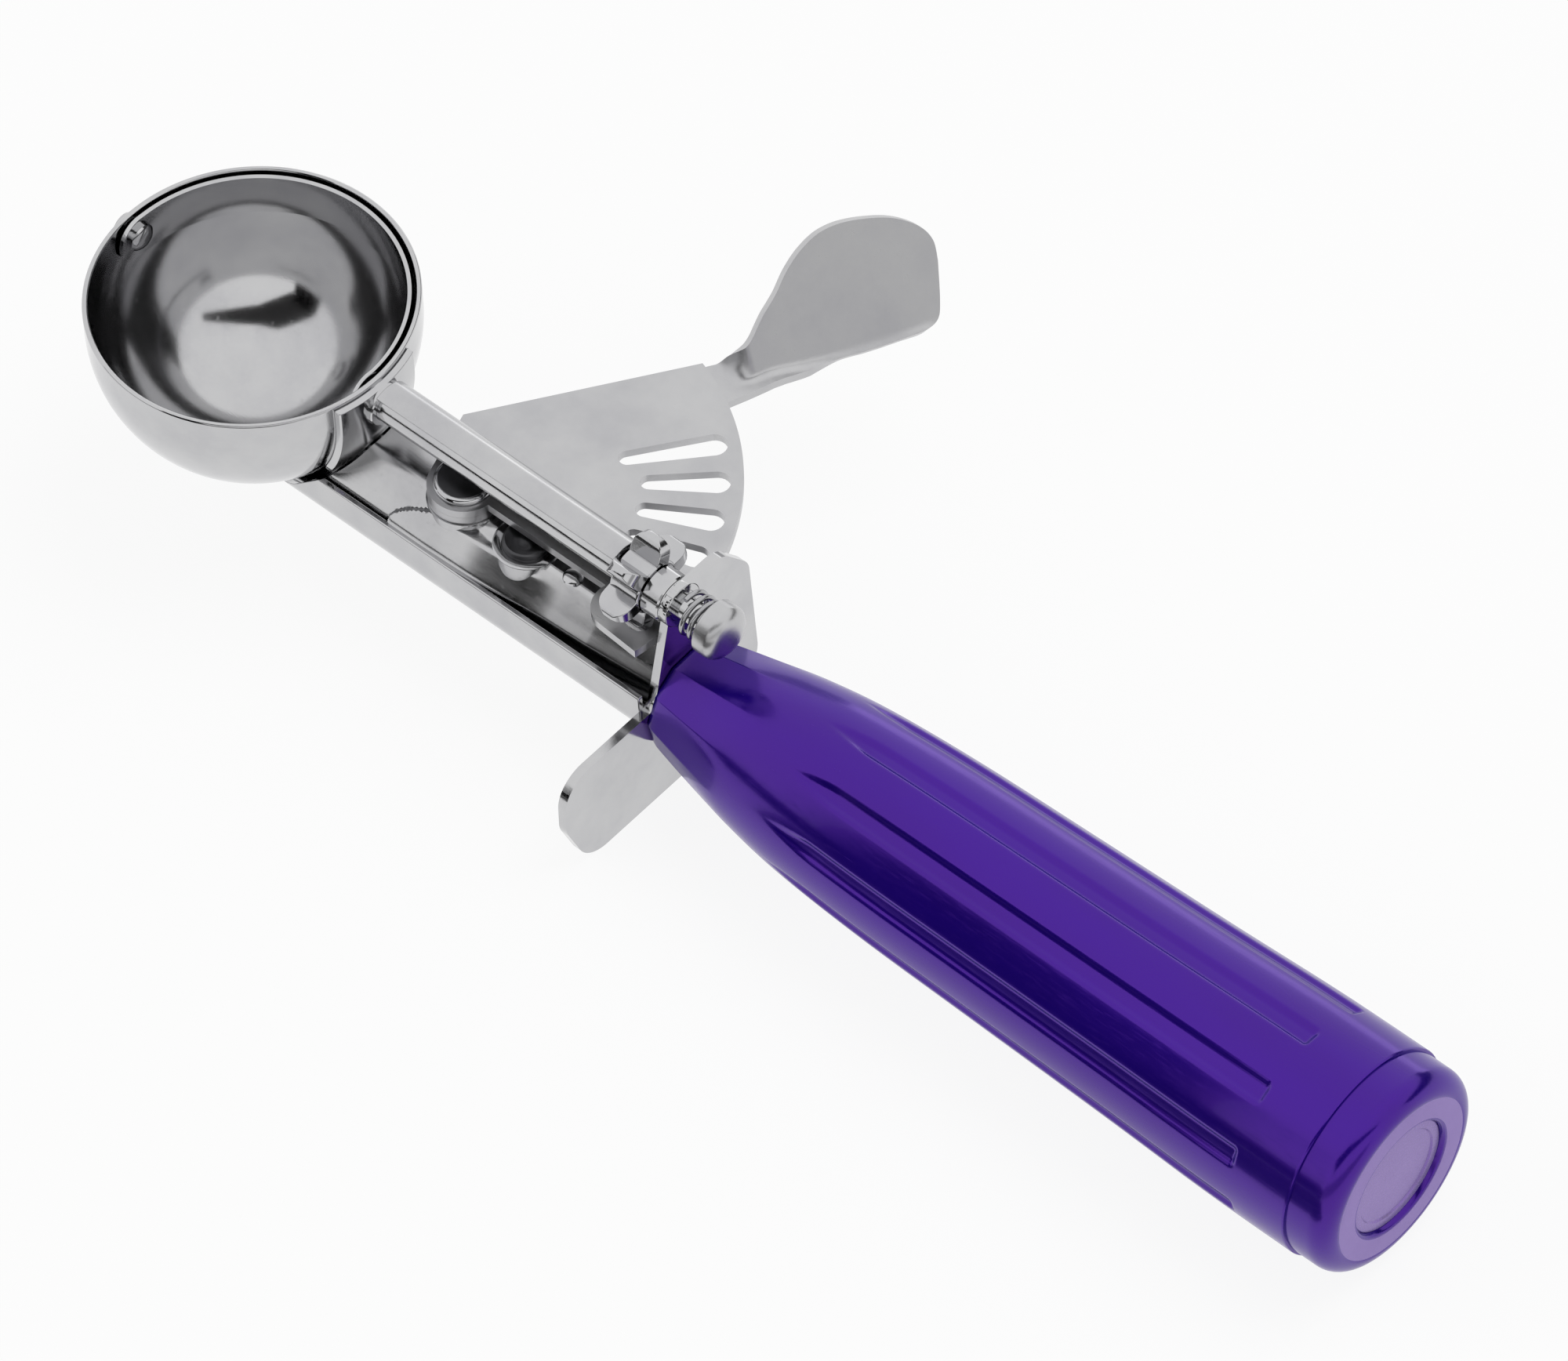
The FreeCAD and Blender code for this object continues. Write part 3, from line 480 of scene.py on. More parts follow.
class Graph:
    """A node tree and the one method that adds to it."""

    def __init__(self, tree: bpy.types.NodeTree) -> None:
        """Holds the tree."""
        self.tree = tree

    def node(self, kind: str, settings: dict[str, object] | None = None,
             values: dict[str | int, object] | None = None) -> bpy.types.Node:
        """New node with its settings made first and its sockets then set or linked.

        Args:
            kind: The node's type.
            settings: Its properties.
            values: A number, colour or wire for each socket.

        Returns:
            The node.
        """
        made = self.tree.nodes.new(kind)
        for key, value in (settings or {}).items():
            setattr(made, key, value)
        for key, value in (values or {}).items():
            if isinstance(value, Wire):
                self.tree.links.new(value.socket, made.inputs[key])
            else:
                made.inputs[key].default_value = value
        return made

    def add(self, kind: str, settings: dict[str, object] | None = None,
            values: dict[str | int, object] | None = None, out: str | int = 0) -> Wire:
        """Output of a new node."""
        return Wire(self, self.node(kind, settings, values).outputs[out])

    def noise(self, where: Wire, scale: float | Triple, detail: float, share: float = 0.5) -> Wire:
        """Noise over a surface.

        Args:
            where: The place on the surface.
            scale: How fine it is, alike each way or along each axis.
            detail: Number of finer layers.
            share: How much each finer layer counts.

        Returns:
            Its value.
        """
        if isinstance(scale, tuple):
            where = self.add("ShaderNodeMapping", {}, {"Vector": where, "Scale": scale})
            scale = 1.0
        return self.add("ShaderNodeTexNoise", {}, {"Vector": where, "Scale": scale, "Detail": detail,
                                                   "Roughness": share}, "Fac")

    def blend(self, share: Wire, first: Triple, second: Triple) -> Wire:
        """Mix of two screen colours."""
        return self.add("ShaderNodeMix", {"data_type": "RGBA"},
                        {"Factor": share, 6: linear(first), 7: linear(second)}, 2)


def cleared(owner: bpy.types.Material | bpy.types.World) -> Graph:
    """Empty node graph of a new material or world.

    Args:
        owner: What the graph belongs to.

    Returns:
        The graph.
    """
    owner.use_nodes = True
    owner.node_tree.nodes.clear()
    return Graph(owner.node_tree)


def linear(colour: Triple) -> Colour:
    """Scene colour of a screen colour.

    Args:
        colour: Three numbers up to 255.

    Returns:
        The colour that a node takes.
    """

    def channel(value: float) -> float:
        """One channel."""
        share = value / 255
        return share / 12.92 if share <= 0.04045 else ((share + 0.055) / 1.055) ** 2.4
    return channel(colour[0]), channel(colour[1]), channel(colour[2]), 1.0


@dataclass(frozen=True)
class Steel:
    """Bare steel: fine grain one way, faint smears, and small handling marks."""

    name: str
    colour: Triple
    roughness: float
    grain: Triple = (400.0, 6000.0, 6000.0)
    grain_depth: float = 0.05
    smear_scale: float = 90.0
    smear: float = 0.06
    mark_scale: float = 1400.0
    marks: float = 0.05
    dull: Triple = (0.93, 0.93, 0.94)
    bump: float = 0.12
    bump_deep: float = 0.00002

    def made(self) -> bpy.types.Material:
        """Makes its nodes.

        Returns:
            The material.
        """
        material = bpy.data.materials.new(self.name)
        graph = cleared(material)
        where = graph.add("ShaderNodeTexCoord", out="Object")
        grain = graph.noise(where, self.grain, 4.0)
        smear = graph.noise(where, self.smear_scale, 5.0, 0.6)
        fleck = graph.noise(where, self.mark_scale, 3.0).step(0.62, 0.72)
        rough = (smear.step(0.35, 0.75) * self.smear + grain * self.grain_depth + fleck * self.marks
                 + self.roughness)
        dulled = tuple(level * share for level, share in zip(self.colour, self.dull))
        tint = graph.blend(smear.step(0.3, 0.8), self.colour, dulled)
        bump = graph.add("ShaderNodeBump", {}, {"Strength": self.bump, "Distance": self.bump_deep,
                                                "Height": grain + fleck * 0.1})
        shader = graph.add("ShaderNodeBsdfPrincipled", {}, {"Base Color": tint, "Metallic": 1.0,
                                                            "Roughness": rough, "Normal": bump})
        graph.node("ShaderNodeOutputMaterial", {}, {"Surface": shader})
        return material


@dataclass(frozen=True)
class Moulding:
    """Glossy moulded plastic with faint flow marks and fine rub marks."""

    name: str
    colour: Triple
    deep: Triple
    roughness: float = 0.16
    flow: Triple = (25.0, 120.0, 120.0)
    rub: Triple = (300.0, 4000.0, 4000.0)
    peel: float = 420.0
    sheen: Colour = (0.34, 0.09, 1.0, 1.0)
    gloss: float = 2.5
    coat: float = 0.12
    coat_roughness: float = 0.04
    bump: float = 0.1
    bump_deep: float = 0.00005

    def made(self) -> bpy.types.Material:
        """Makes its nodes.

        Returns:
            The material.
        """
        material = bpy.data.materials.new(self.name)
        graph = cleared(material)
        where = graph.add("ShaderNodeTexCoord", out="Object")
        cloud = graph.noise(where, self.flow, 3.0)
        hair = graph.noise(where, self.rub, 5.0)
        peel = graph.noise(where, self.peel, 1.0)
        tint = graph.blend(cloud.step(0.3, 0.75), self.colour, self.deep)
        rough = hair.step(0.45, 0.8) * 0.1 + cloud * 0.04 + self.roughness
        bump = graph.add("ShaderNodeBump", {}, {"Strength": self.bump, "Distance": self.bump_deep,
                                                "Height": peel + hair * 0.3})
        shader = graph.add("ShaderNodeBsdfPrincipled", {}, {
            "Base Color": tint, "Roughness": rough, "Normal": bump, "IOR": self.gloss,
            "Specular Tint": self.sheen, "Coat Weight": self.coat, "Coat Roughness": self.coat_roughness})
        graph.node("ShaderNodeOutputMaterial", {}, {"Surface": shader})
        return material


FINISHES: dict[Slot | Look, Steel | Moulding] = {
    Slot.POLISHED: Steel("polished_steel", (197.0, 197.0, 198.0), 0.07),
    Slot.SATIN: Steel("satin_steel", (196.0, 196.0, 197.0), 0.24, grain_depth=0.1),
    Slot.SPRING: Steel("spring_steel", (176.0, 176.0, 178.0), 0.2),
    Slot.BUSH: Steel("bush_metal", (206.0, 196.0, 170.0), 0.22),
    Slot.GRIP: Moulding("violet_grip", (24.0, 3.0, 112.0), (18.0, 2.0, 98.0)),
    Slot.BUTT: Moulding("butt_disc", (148.0, 134.0, 172.0), (140.0, 126.0, 164.0), 0.22),
    # Painted dark reflection: dark grey steel for the rivet heads under the cover, in place of what they
    # reflect
    Look.PAINTED_DARK_REFLECTION: Steel("painted_dark_reflection_steel", (84.0, 84.0, 86.0), 0.24, grain=(900.0, 900.0, 900.0),
                     grain_depth=0.12),
    Look.BRUSHED: Steel("brushed_steel", (194.0, 194.0, 195.0), 0.14, grain_depth=0.08),
    # Painted reflection: pale lilac for the handle's end face, which is the grip's own plastic
    Look.PAINTED_REFLECTION: Moulding("painted_reflection_violet", (146.0, 130.0, 176.0), (138.0, 122.0, 168.0), 0.3),
}


class Bench:
    """Finishes pieces and hands them to the frame."""

    def __init__(self) -> None:
        """Makes each finish once."""
        self.materials = {use: finish.made() for use, finish in FINISHES.items()}
        self.count = 0

    def keep(self, piece: bpy.types.Object, body: Body, slot: Slot, nodes: Sequence[str] = (),
             edge: float = 0.0, look: Look | None = None) -> None:
        """Gives a piece its finish, its softened edges, its body and the nodes it stands for.

        Args:
            piece: The object.
            body: The body it rides on.
            slot: Its finish.
            nodes: The nodes it stands for.
            edge: Width of its softened edges in millimetres.
            look: Its own finish, where it looks unlike the rest of its slot.
        """
        piece.data.materials.clear()
        piece.data.materials.append(self.materials[look or slot])
        if edge:
            bevel = piece.modifiers.new("edges", "BEVEL")
            bevel.width = edge * MM
            bevel.segments = 2
            bevel.limit_method = "ANGLE"
            bevel.angle_limit = math.radians(EDGE_ANGLE)
            bevel.harden_normals = True
        weight = piece.modifiers.new("normals", "WEIGHTED_NORMAL")
        weight.keep_sharp = True
        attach(piece, body.value)
        if nodes:
            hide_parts(*nodes)
        self.count += 1
        LOG.info("%s on %s, %d faces", piece.name, body.value, len(piece.data.polygons))

    def dress(self, node: str, slot: Slot) -> None:
        """Gives a CAD node that stays its finish.

        Args:
            node: The node's name.
            slot: Its finish.
        """
        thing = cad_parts[node]
        thing.data.materials.clear()
        thing.data.materials.append(self.materials[slot])
        LOG.info("%s keeps its own shape", node)


def sharp(piece: bpy.types.Object, degrees: float = 38.0) -> bpy.types.Object:
    """Marks edges that turn by more than an angle as sharp."""
    piece.data.set_sharp_from_angle(angle=math.radians(degrees))
    return piece


def turned_piece(name: str, line: Sequence[Pair], axis: Axis, centre: Triple, segments: int = 64,
                 closed: bool = False) -> bpy.types.Object:
    """Turned piece of one profile.

    Args:
        name: Its name.
        line: The profile, as places along the axis and radii.
        axis: The line it is turned about.
        centre: Point on that line.
        segments: Number of steps round.
        closed: Whether the profile is a ring's own closed section.

    Returns:
        The piece.
    """
    mesh = Mesh()
    mesh.turned(line, axis, centre, segments, closed)
    return sharp(mesh.made(name))


class Former:
    """Geometry Nodes tree with named sizes, which makes a piece from a plain form."""

    def __init__(self, name: str, sizes: dict[str, float]) -> None:
        """Makes the tree and its inputs.

        Args:
            name: The tree's name.
            sizes: Its sizes by their names.
        """
        self.sizes = sizes
        self.tree = bpy.data.node_groups.new(name, "GeometryNodeTree")
        sockets = self.tree.interface
        sockets.new_socket("Form", in_out="INPUT", socket_type="NodeSocketGeometry")
        self.inputs = {label: sockets.new_socket(label, in_out="INPUT", socket_type="NodeSocketFloat")
                       for label in sizes}
        sockets.new_socket("Piece", in_out="OUTPUT", socket_type="NodeSocketGeometry")
        self.graph = Graph(self.tree)
        entry = self.graph.node("NodeGroupInput")
        self.form = Wire(self.graph, entry.outputs["Form"])
        self.size = {label: Wire(self.graph, entry.outputs[label]) for label in sizes}

    def piece(self, name: str, form: bpy.types.Object, result: Wire,
              finish: bpy.types.Material) -> bpy.types.Object:
        """Ends the tree and makes its result a plain mesh.

        Args:
            name: The piece's name.
            form: The object it is made from, which is then removed.
            result: The geometry it ends in.
            finish: Its material.

        Returns:
            The piece.
        """
        real = self.graph.add("GeometryNodeRealizeInstances", {}, {"Geometry": result})
        paint = self.graph.add("GeometryNodeSetMaterial", {}, {"Geometry": real, "Material": finish})
        self.graph.node("NodeGroupOutput", {}, {0: paint})
        making = form.modifiers.new(name, "NODES")
        making.node_group = self.tree
        for label, value in self.sizes.items():
            making[self.inputs[label].identifier] = value
        done = bpy.data.meshes.new_from_object(form.evaluated_get(bpy.context.evaluated_depsgraph_get()))
        bpy.data.objects.remove(form)
        smooth_faces(done)
        return linked(name, done)


@dataclass
class Bowl:
    """Spun bowl with its saddle and the two bearings in its wall."""

    radius: float = 20.5
    wall: float = 0.7
    lip: float = 1.3
    segments: int = 192
    saddle_wall: float = 1.0
    saddle_half: float = 6.5
    saddle_low: float = -17.5
    saddle_high: float = -0.6
    saddle_foot: float = 0.3
    saddle_pinch: float = 0.55
    solder: float = 0.01
    chamfer: float = 0.15

    def shell(self) -> bpy.types.Object:
        """Bowl turned from its wall's section, with a rounded rim.

        Returns:
            The bowl.
        """
        inner = self.radius - self.wall
        half = self.wall / 2
        line = [(SHAFT_Z - p, q) for p, q in (polar(inner, a) for a in range(0, 91, 2))]
        line += [(-half * self.lip, inner)]
        line += [(q - half, inner + half - p) for p, q in (polar(half, a) for a in range(0, 181, 20))]
        line += [(-half * self.lip, self.radius)]
        line += [(SHAFT_Z - p, q) for p, q in (polar(self.radius, a) for a in range(90, -1, -2))]
        return turned_piece("bowl_shell", line, Axis.UP, (0.0, 0.0, 0.0), self.segments)

    def start(self, y: float, z: float) -> float:
        """Place along the shaft where the saddle's outer face stands."""
        return self.on_ball(self.radius + self.saddle_wall, y, z)

    def on_ball(self, radius: float, y: float, z: float) -> float:
        """Place along the shaft of a point on a ball or skirt of a radius."""
        rise = min(z - SHAFT_Z, 0.0)
        return math.sqrt(max(radius ** 2 - y ** 2 - rise ** 2, 0.0))

    def saddle(self) -> bpy.types.Object:
        """Plate soldered to the bowl's near side, narrower at its foot.

        Returns:
            The plate.
        """
        mesh = Mesh()
        sides = []
        tall = 28
        wide = 20
        for radius in (self.radius + self.saddle_wall, self.radius + self.solder):
            rows = []
            for i in range(tall + 1):
                v = i / tall
                z = self.saddle_low + (self.saddle_high - self.saddle_low) * v
                pinch = 1 - self.saddle_pinch * max(0.0, 1 - v / self.saddle_foot) ** 2
                row = []
                for j in range(wide + 1):
                    y = self.saddle_half * pinch * (2 * j / wide - 1)
                    row.append((self.on_ball(radius, y, z), y, z))
                rows.append(row)
            sides.append(rows)
        mesh.sheet(sides[0], sides[1])
        return sharp(mesh.made("saddle_plate"))

    def bearing(self, name: str, near: float, far: float, bore: float, outer: float) -> bpy.types.Object:
        """Bush along the shaft with chamfered ends.

        Args:
            name: Its name.
            near: Its first end along the shaft.
            far: Its other end.
            bore: Radius of its hole.
            outer: Its own radius.

        Returns:
            The bush.
        """
        cut = self.chamfer
        line = [(near, bore), (near, outer - cut), (near + cut, outer), (far - cut, outer),
                (far, outer - cut), (far, bore)]
        return turned_piece(name, line, Axis.ALONG, (0.0, 0.0, SHAFT_Z), 48, True)

    def build(self, bench: Bench) -> None:
        """Makes the bowl's pieces.

        Args:
            bench: What finishes them.
        """
        bench.keep(self.shell(), Body.FRAME, Slot.POLISHED, ["scoop_bowl"])
        bench.keep(self.saddle(), Body.FRAME, Slot.POLISHED, ["bowl_saddle"], edge=0.2)
        near = self.bearing("near_bearing", near=19.7, far=22.1, bore=2.1, outer=2.95)
        bench.keep(near, Body.FRAME, Slot.POLISHED, ["shaft_bushing"])
        tip = self.bearing("tip_bearing", near=-21.1, far=-19.7, bore=1.15, outer=2.0)
        bench.keep(tip, Body.FRAME, Slot.POLISHED, ["tip_bushing"])


@dataclass
class Scraper:
    """Blade, its two pins, the long shaft and what turns with it."""

    blade_radius: float = 19.5
    blade_wall: float = 0.5
    blade_half: float = 3.2
    blade_step: float = 3.0
    lobe: float = 3.3
    shaft: float = 2.05
    shaft_end: float = 69.55
    tail: float = 1.6
    tail_end: float = 76.2
    hub: float = 3.6
    bevel: float = 0.2
    teeth: int = 6
    tooth_tip: float = 6.6
    tooth: tuple[Pair, ...] = ((1.8, 1.2), (3.2, 1.1), (4.3, 1.0), (4.9, 0.95), (5.4, 0.9), (5.8, 0.8),
                               (6.1, 0.68), (6.35, 0.5), (6.5, 0.3), (6.58, 0.0))
    pinion_x: float = 61.0
    pinion_long: float = 4.5
    rest_turn: float = -21.8

    def blade(self) -> bpy.types.Object:
        """Half-ring blade with a round lobe at each end.

        Returns:
            The blade.
        """
        mesh = Mesh()
        across = 12
        reach = math.degrees(math.asin(self.lobe / self.blade_radius)) - 0.05
        lobe = [-reach + reach * (1 - math.cos(math.radians(a))) for a in range(0, 91, 6)]
        ring = [self.blade_step * k for k in range(1, round(180 / self.blade_step))]
        stations = lobe + ring + [180 - angle for angle in reversed(lobe)]
        sides = []
        for radius in (self.blade_radius, self.blade_radius - self.blade_wall):
            rows = []
            for angle in stations:
                turn = math.radians(angle)
                over = self.lobe ** 2 - (self.blade_radius * math.sin(turn)) ** 2
                half = math.sqrt(max(over, 0.0))
                if 0 <= angle <= 180:
                    half = max(half, self.blade_half)
                row = []
                for j in range(across + 1):
                    lift = math.asin(half / self.blade_radius) * (2 * j / across - 1)
                    row.append((-radius * math.cos(turn) * math.cos(lift),
                                radius * math.sin(turn) * math.cos(lift),
                                SHAFT_Z + radius * math.sin(lift)))
                rows.append(row)
            sides.append(rows)
        mesh.sheet(sides[0], sides[1])
        return sharp(mesh.made("blade"))

    def along(self, name: str, line: Sequence[Pair], closed: bool = False) -> bpy.types.Object:
        """Piece turned about the shaft's line."""
        return turned_piece(name, line, Axis.ALONG, (0.0, 0.0, SHAFT_Z), 64, closed)

    def one_tooth(self) -> Mesh:
        """One tapered tooth of the pinion, standing out along its own Z, with a round end.

        Returns:
            Its mesh.
        """
        mesh = Mesh()
        turn = self.pinion_long / 2 - 0.1
        rows = []
        for height, half in self.tooth:
            over = max(0.0, height - (self.tooth_tip - turn))
            trim = turn - math.sqrt(turn * turn - over * over)
            near = self.pinion_x + trim
            far = self.pinion_x + self.pinion_long - trim
            rows.append([(near, -half, height), (near, half, height), (far, half, height),
                         (far, -half, height)])
        mesh.grid(rows, ring=True)
        return mesh

    def pinion(self) -> bpy.types.Object:
        """Hub with its teeth.

        Returns:
            The pinion.
        """
        mesh = Mesh()
        start = self.pinion_x
        end = start + self.pinion_long
        cut = self.bevel
        line = [(start, self.shaft), (start, self.hub - cut), (start + cut, self.hub),
                (end - cut, self.hub), (end, self.hub - cut), (end, self.shaft)]
        mesh.turned(line, Axis.ALONG, (0.0, 0.0, SHAFT_Z), 64, True)
        one = self.one_tooth()
        for step in range(self.teeth):
            turn = math.radians(180 + self.rest_turn + 360.0 * step / self.teeth)
            base = len(mesh.points)
            for x, y, z in one.points:
                mesh.points.append((x, y * math.cos(turn) - z * math.sin(turn),
                                    SHAFT_Z + y * math.sin(turn) + z * math.cos(turn)))
            mesh.faces.extend(tuple(base + index for index in face) for face in one.faces)
        return sharp(mesh.made("pinion"))

    def tip_pin(self) -> bpy.types.Object:
        """Pin through the far bearing, with a head on each side of the wall."""
        return self.along("tip_pin", [
            (-21.95, 0.0), (-21.95, 1.4), (-21.75, 1.75), (-21.4, 1.9), (-21.15, 1.9), (-21.15, 1.1),
            (-18.9, 1.1), (-18.9, 1.9), (-18.5, 1.85), (-18.2, 1.5), (-18.1, 0.9), (-18.1, 0.0)])

    def rod(self) -> bpy.types.Object:
        """Shaft with the blade's rivet head at its front and a thinner tail."""
        return self.along("shaft", [
            (18.2, 0.0), (18.2, 1.0), (18.35, 1.6), (18.7, 1.95), (18.9, 2.0), (18.9, 1.4), (19.52, 1.4),
            (19.52, self.shaft), (self.shaft_end, self.shaft), (self.shaft_end, self.tail),
            (self.tail_end, self.tail), (self.tail_end, 0.0)])

    def spacer(self) -> bpy.types.Object:
        """Ring between the pinion and the guard."""
        return self.along("spacer", [(65.5, self.shaft), (65.5, 3.0), (65.7, 3.2), (68.0, 3.2), (68.2, 3.0),
                                     (68.2, self.shaft)], True)

    def end_cap(self) -> bpy.types.Object:
        """Domed knob on the shaft's tail."""
        return self.along("end_cap", [
            (74.05, 3.1), (74.05, 3.45), (74.2, 3.6), (75.8, 3.6), (76.3, 3.5), (76.8, 3.15), (77.2, 2.55),
            (77.4, 1.8), (77.5, 1.0), (77.53, 0.0)])

    def build(self, bench: Bench) -> None:
        """Makes the turning pieces.

        Args:
            bench: What finishes them.
        """
        bench.keep(self.blade(), Body.SCRAPER, Slot.POLISHED, ["scraper_blade"], edge=0.12)
        bench.keep(self.tip_pin(), Body.SCRAPER, Slot.POLISHED, ["blade_tip_pin"])
        bench.keep(self.rod(), Body.SCRAPER, Slot.POLISHED, ["scraper_shaft"])
        bench.keep(self.pinion(), Body.SCRAPER, Slot.POLISHED, ["drive_pinion"], edge=0.12)
        bench.keep(self.spacer(), Body.SCRAPER, Slot.POLISHED, ["thrust_spacer"])
        bench.keep(self.end_cap(), Body.SCRAPER, Slot.SATIN, ["shaft_end_cap"])
        bench.dress("pinion_pin", Slot.POLISHED)


@dataclass
class Lever:
    """Slotted sector and the thumb lever under it."""

    sheet: float = 1.2
    top: float = -8.5
    hole: float = 2.8
    eye: float = 4.6
    bush_bore: float = 2.05
    radius: float = 33.4
    lead_angle: float = 55.7
    lead_side: float = 10.2
    lead_foot: float = 2.2
    rim: float = 3.7
    rim_reach: float = 27.1
    rim_end: float = -197.1
    waist: Pair = (16.0, -0.8)
    slots: int = 6
    slot_pitch: float = 11.0
    slot_first: float = -4.0
    slot_outer: float = 31.9
    slot_inner: float = 21.0
    first_inner: float = 25.6
    last_inner: float = 18.6
    slot_wide: float = 1.65
    slot_narrow: float = 1.1
    lever_angle: float = 68.7
    fold: float = 60.0
    fold_start: float = 34.8
    fold_run: float = 3.6
    bend: float = 1.2
    pad_y: float = -1.2
    pad_z: float = -9.1
    fold_line: tuple[Pair, ...] = (
        (0.0, -0.69), (40.0, -0.69), (41.5, -0.9), (44.0, -1.5), (46.2, -1.94), (48.3, -2.33),
        (50.2, -2.65), (52.0, -2.88), (54.5, -3.1), (57.5, -3.28), (61.0, -3.4), (66.0, -3.45))
    upper_edge: tuple[Pair, ...] = (
        (0.0, 4.75), (14.0, 4.75), (26.0, 4.75), (32.0, 4.7), (34.5, 4.4), (36.0, 3.95), (37.5, 3.95),
        (39.2, 5.0), (41.2, 7.3), (43.5, 9.8), (45.7, 12.6), (48.3, 15.0), (51.3, 16.6), (55.0, 16.8),
        (59.8, 15.5), (63.1, 13.2), (64.5, 10.7), (64.4, 7.9))
    lower_edge: tuple[Pair, ...] = (
        (0.0, -1.65), (14.0, -1.65), (26.0, -1.65), (32.0, -1.65), (34.5, -1.65), (36.0, -1.65),
        (38.0, -1.6), (40.0, -1.5), (42.0, -1.25), (44.0, -0.9), (46.5, -0.4), (49.5, 0.0),
        (53.0, 0.0), (57.0, 0.0), (60.5, 0.0), (62.4, 0.8), (63.3, 3.0), (64.4, 7.9))

    def outline(self) -> list[Pair]:
        """Sector's outer line about the pivot: straight lead, arc, rim round the first slot, and eye.

        Returns:
            Its points.
        """
        middle = (0.0, 0.0)
        lead = math.radians(self.lead_angle)
        ahead = Vector((math.cos(lead), math.sin(lead)))
        left = Vector((-math.sin(lead), math.cos(lead)))
        foot = left * self.lead_side + ahead * self.lead_foot
        reach = math.sqrt(self.radius ** 2 - self.lead_side ** 2)
        corner = self.lead_angle + math.degrees(math.atan2(self.lead_side, reach))
        tail = self.slot_first - math.degrees(math.asin(self.rim / self.radius))
        line = [(foot.x, foot.y)]
        line += arc(middle, self.radius, corner, tail, 60)
        cap = polar(self.rim_reach, self.slot_first)
        line += arc(cap, self.rim, self.slot_first - 90, self.rim_end, 18)
        line += [self.waist]
        line += arc(middle, self.eye, -10.0, -165.0, 24)
        return line

    def slot(self, index: int) -> list[Pair]:
        """Line of one tapered slot.

        Args:
            index: Its number from the first.

        Returns:
            Its points.
        """
        inner = {0: self.first_inner, self.slots - 1: self.last_inner}.get(index, self.slot_inner)
        wide = self.slot_wide
        narrow = self.slot_narrow
        line = arc((inner + narrow, 0.0), narrow, 270.0, 90.0, 10)
        line += arc((self.slot_outer - wide, 0.0), wide, 90.0, -90.0, 12)
        turn = Matrix.Rotation(math.radians(self.slot_first + index * self.slot_pitch), 2)
        return [tuple(turn @ Vector(spot)) for spot in line]

    def sector(self) -> bpy.types.Object:
        """Flat sector with its slots and its hole.

        Returns:
            The sector.
        """
        mesh = Mesh()
        holes = [self.slot(index) for index in range(self.slots)]
        holes.append(arc((0.0, 0.0), self.hole, 0.0, -350.0, 35))
        plate(mesh, self.outline(), holes, self.top - self.sheet, self.top,
              lambda x, y, z: (PIVOT_X + x, y, z))
        return sharp(mesh.made("sector"))

    def lay(self, a: float, s: float, lift: float) -> Triple:
        """Point of the folded thumb lever.

        Args:
            a: Distance along the lever from the pivot.
            s: Distance from the fold, up the pad.
            lift: Distance off the sheet's middle.

        Returns:
            Its place.
        """
        fold = math.radians(self.fold) * ease((a - self.fold_start) / self.fold_run)
        drop = read_off(self.fold_line, a)
        reach = self.bend * math.tan(fold / 2)
        y = self.pad_y + drop / 2
        z = self.pad_z + drop * math.sin(math.radians(self.fold))
        if s < -reach or fold < 1e-3:
            slope = 0.0
            y += s
        elif s < reach:
            slope = fold * (s + reach) / (2 * reach)
            y += self.bend * math.sin(slope) - reach
            z += self.bend * (1 - math.cos(slope))
        else:
            slope = fold
            y += s * math.cos(fold)
            z += s * math.sin(fold)
        deep = self.sheet / 2 - lift
        y += deep * math.sin(slope)
        z -= deep * math.cos(slope)
        turn = math.radians(self.lever_angle)
        return (PIVOT_X + a * math.cos(turn) - y * math.sin(turn),
                a * math.sin(turn) + y * math.cos(turn), z)

    def thumb(self) -> bpy.types.Object:
        """Thumb lever: a strip from the pivot's eye that folds up into the pad.

        Returns:
            The lever.
        """
        count = 120
        wide = 22
        top = smooth_line(self.upper_edge, count)
        low = smooth_line(self.lower_edge, count)
        mesh = Mesh()
        sides = []
        for lift in (self.sheet / 2, -self.sheet / 2):
            rows = []
            for (a1, s1), (a0, s0) in zip(top, low):
                row = []
                for j in range(wide + 1):
                    share = j / wide
                    row.append(self.lay(a0 + (a1 - a0) * share, s0 + (s1 - s0) * share, lift))
                rows.append(row)
            sides.append(rows)
        mesh.sheet(sides[0], sides[1])
        under = self.top - 2 * self.sheet
        over = self.top - self.sheet - 0.02
        eye = [(under, self.hole), (under, self.eye), (over, self.eye), (over, self.hole)]
        mesh.turned(eye, Axis.UP, (PIVOT_X, 0.0, 0.0), 48, True)
        return sharp(mesh.made("thumb_rest"))

    def bush(self) -> bpy.types.Object:
        """Bush in the lever's eye and the sector's hole.

        Returns:
            The bush.
        """
        low = self.top - 2 * self.sheet
        line = [(low, self.bush_bore), (low, self.hole), (self.top, self.hole), (self.top, self.bush_bore)]
        return turned_piece("bush", line, Axis.UP, (PIVOT_X, 0.0, 0.0), 48, True)

    def build(self, bench: Bench) -> None:
        """Makes the lever's pieces.

        Args:
            bench: What finishes them.
        """
        bench.keep(self.sector(), Body.LEVER, Slot.SATIN, ["sector_plate"], edge=0.16)
        bench.keep(self.thumb(), Body.LEVER, Slot.SATIN, ["thumb_lever"], edge=0.2)
        bench.keep(self.bush(), Body.LEVER, Slot.BUSH, ["pivot_bush"])


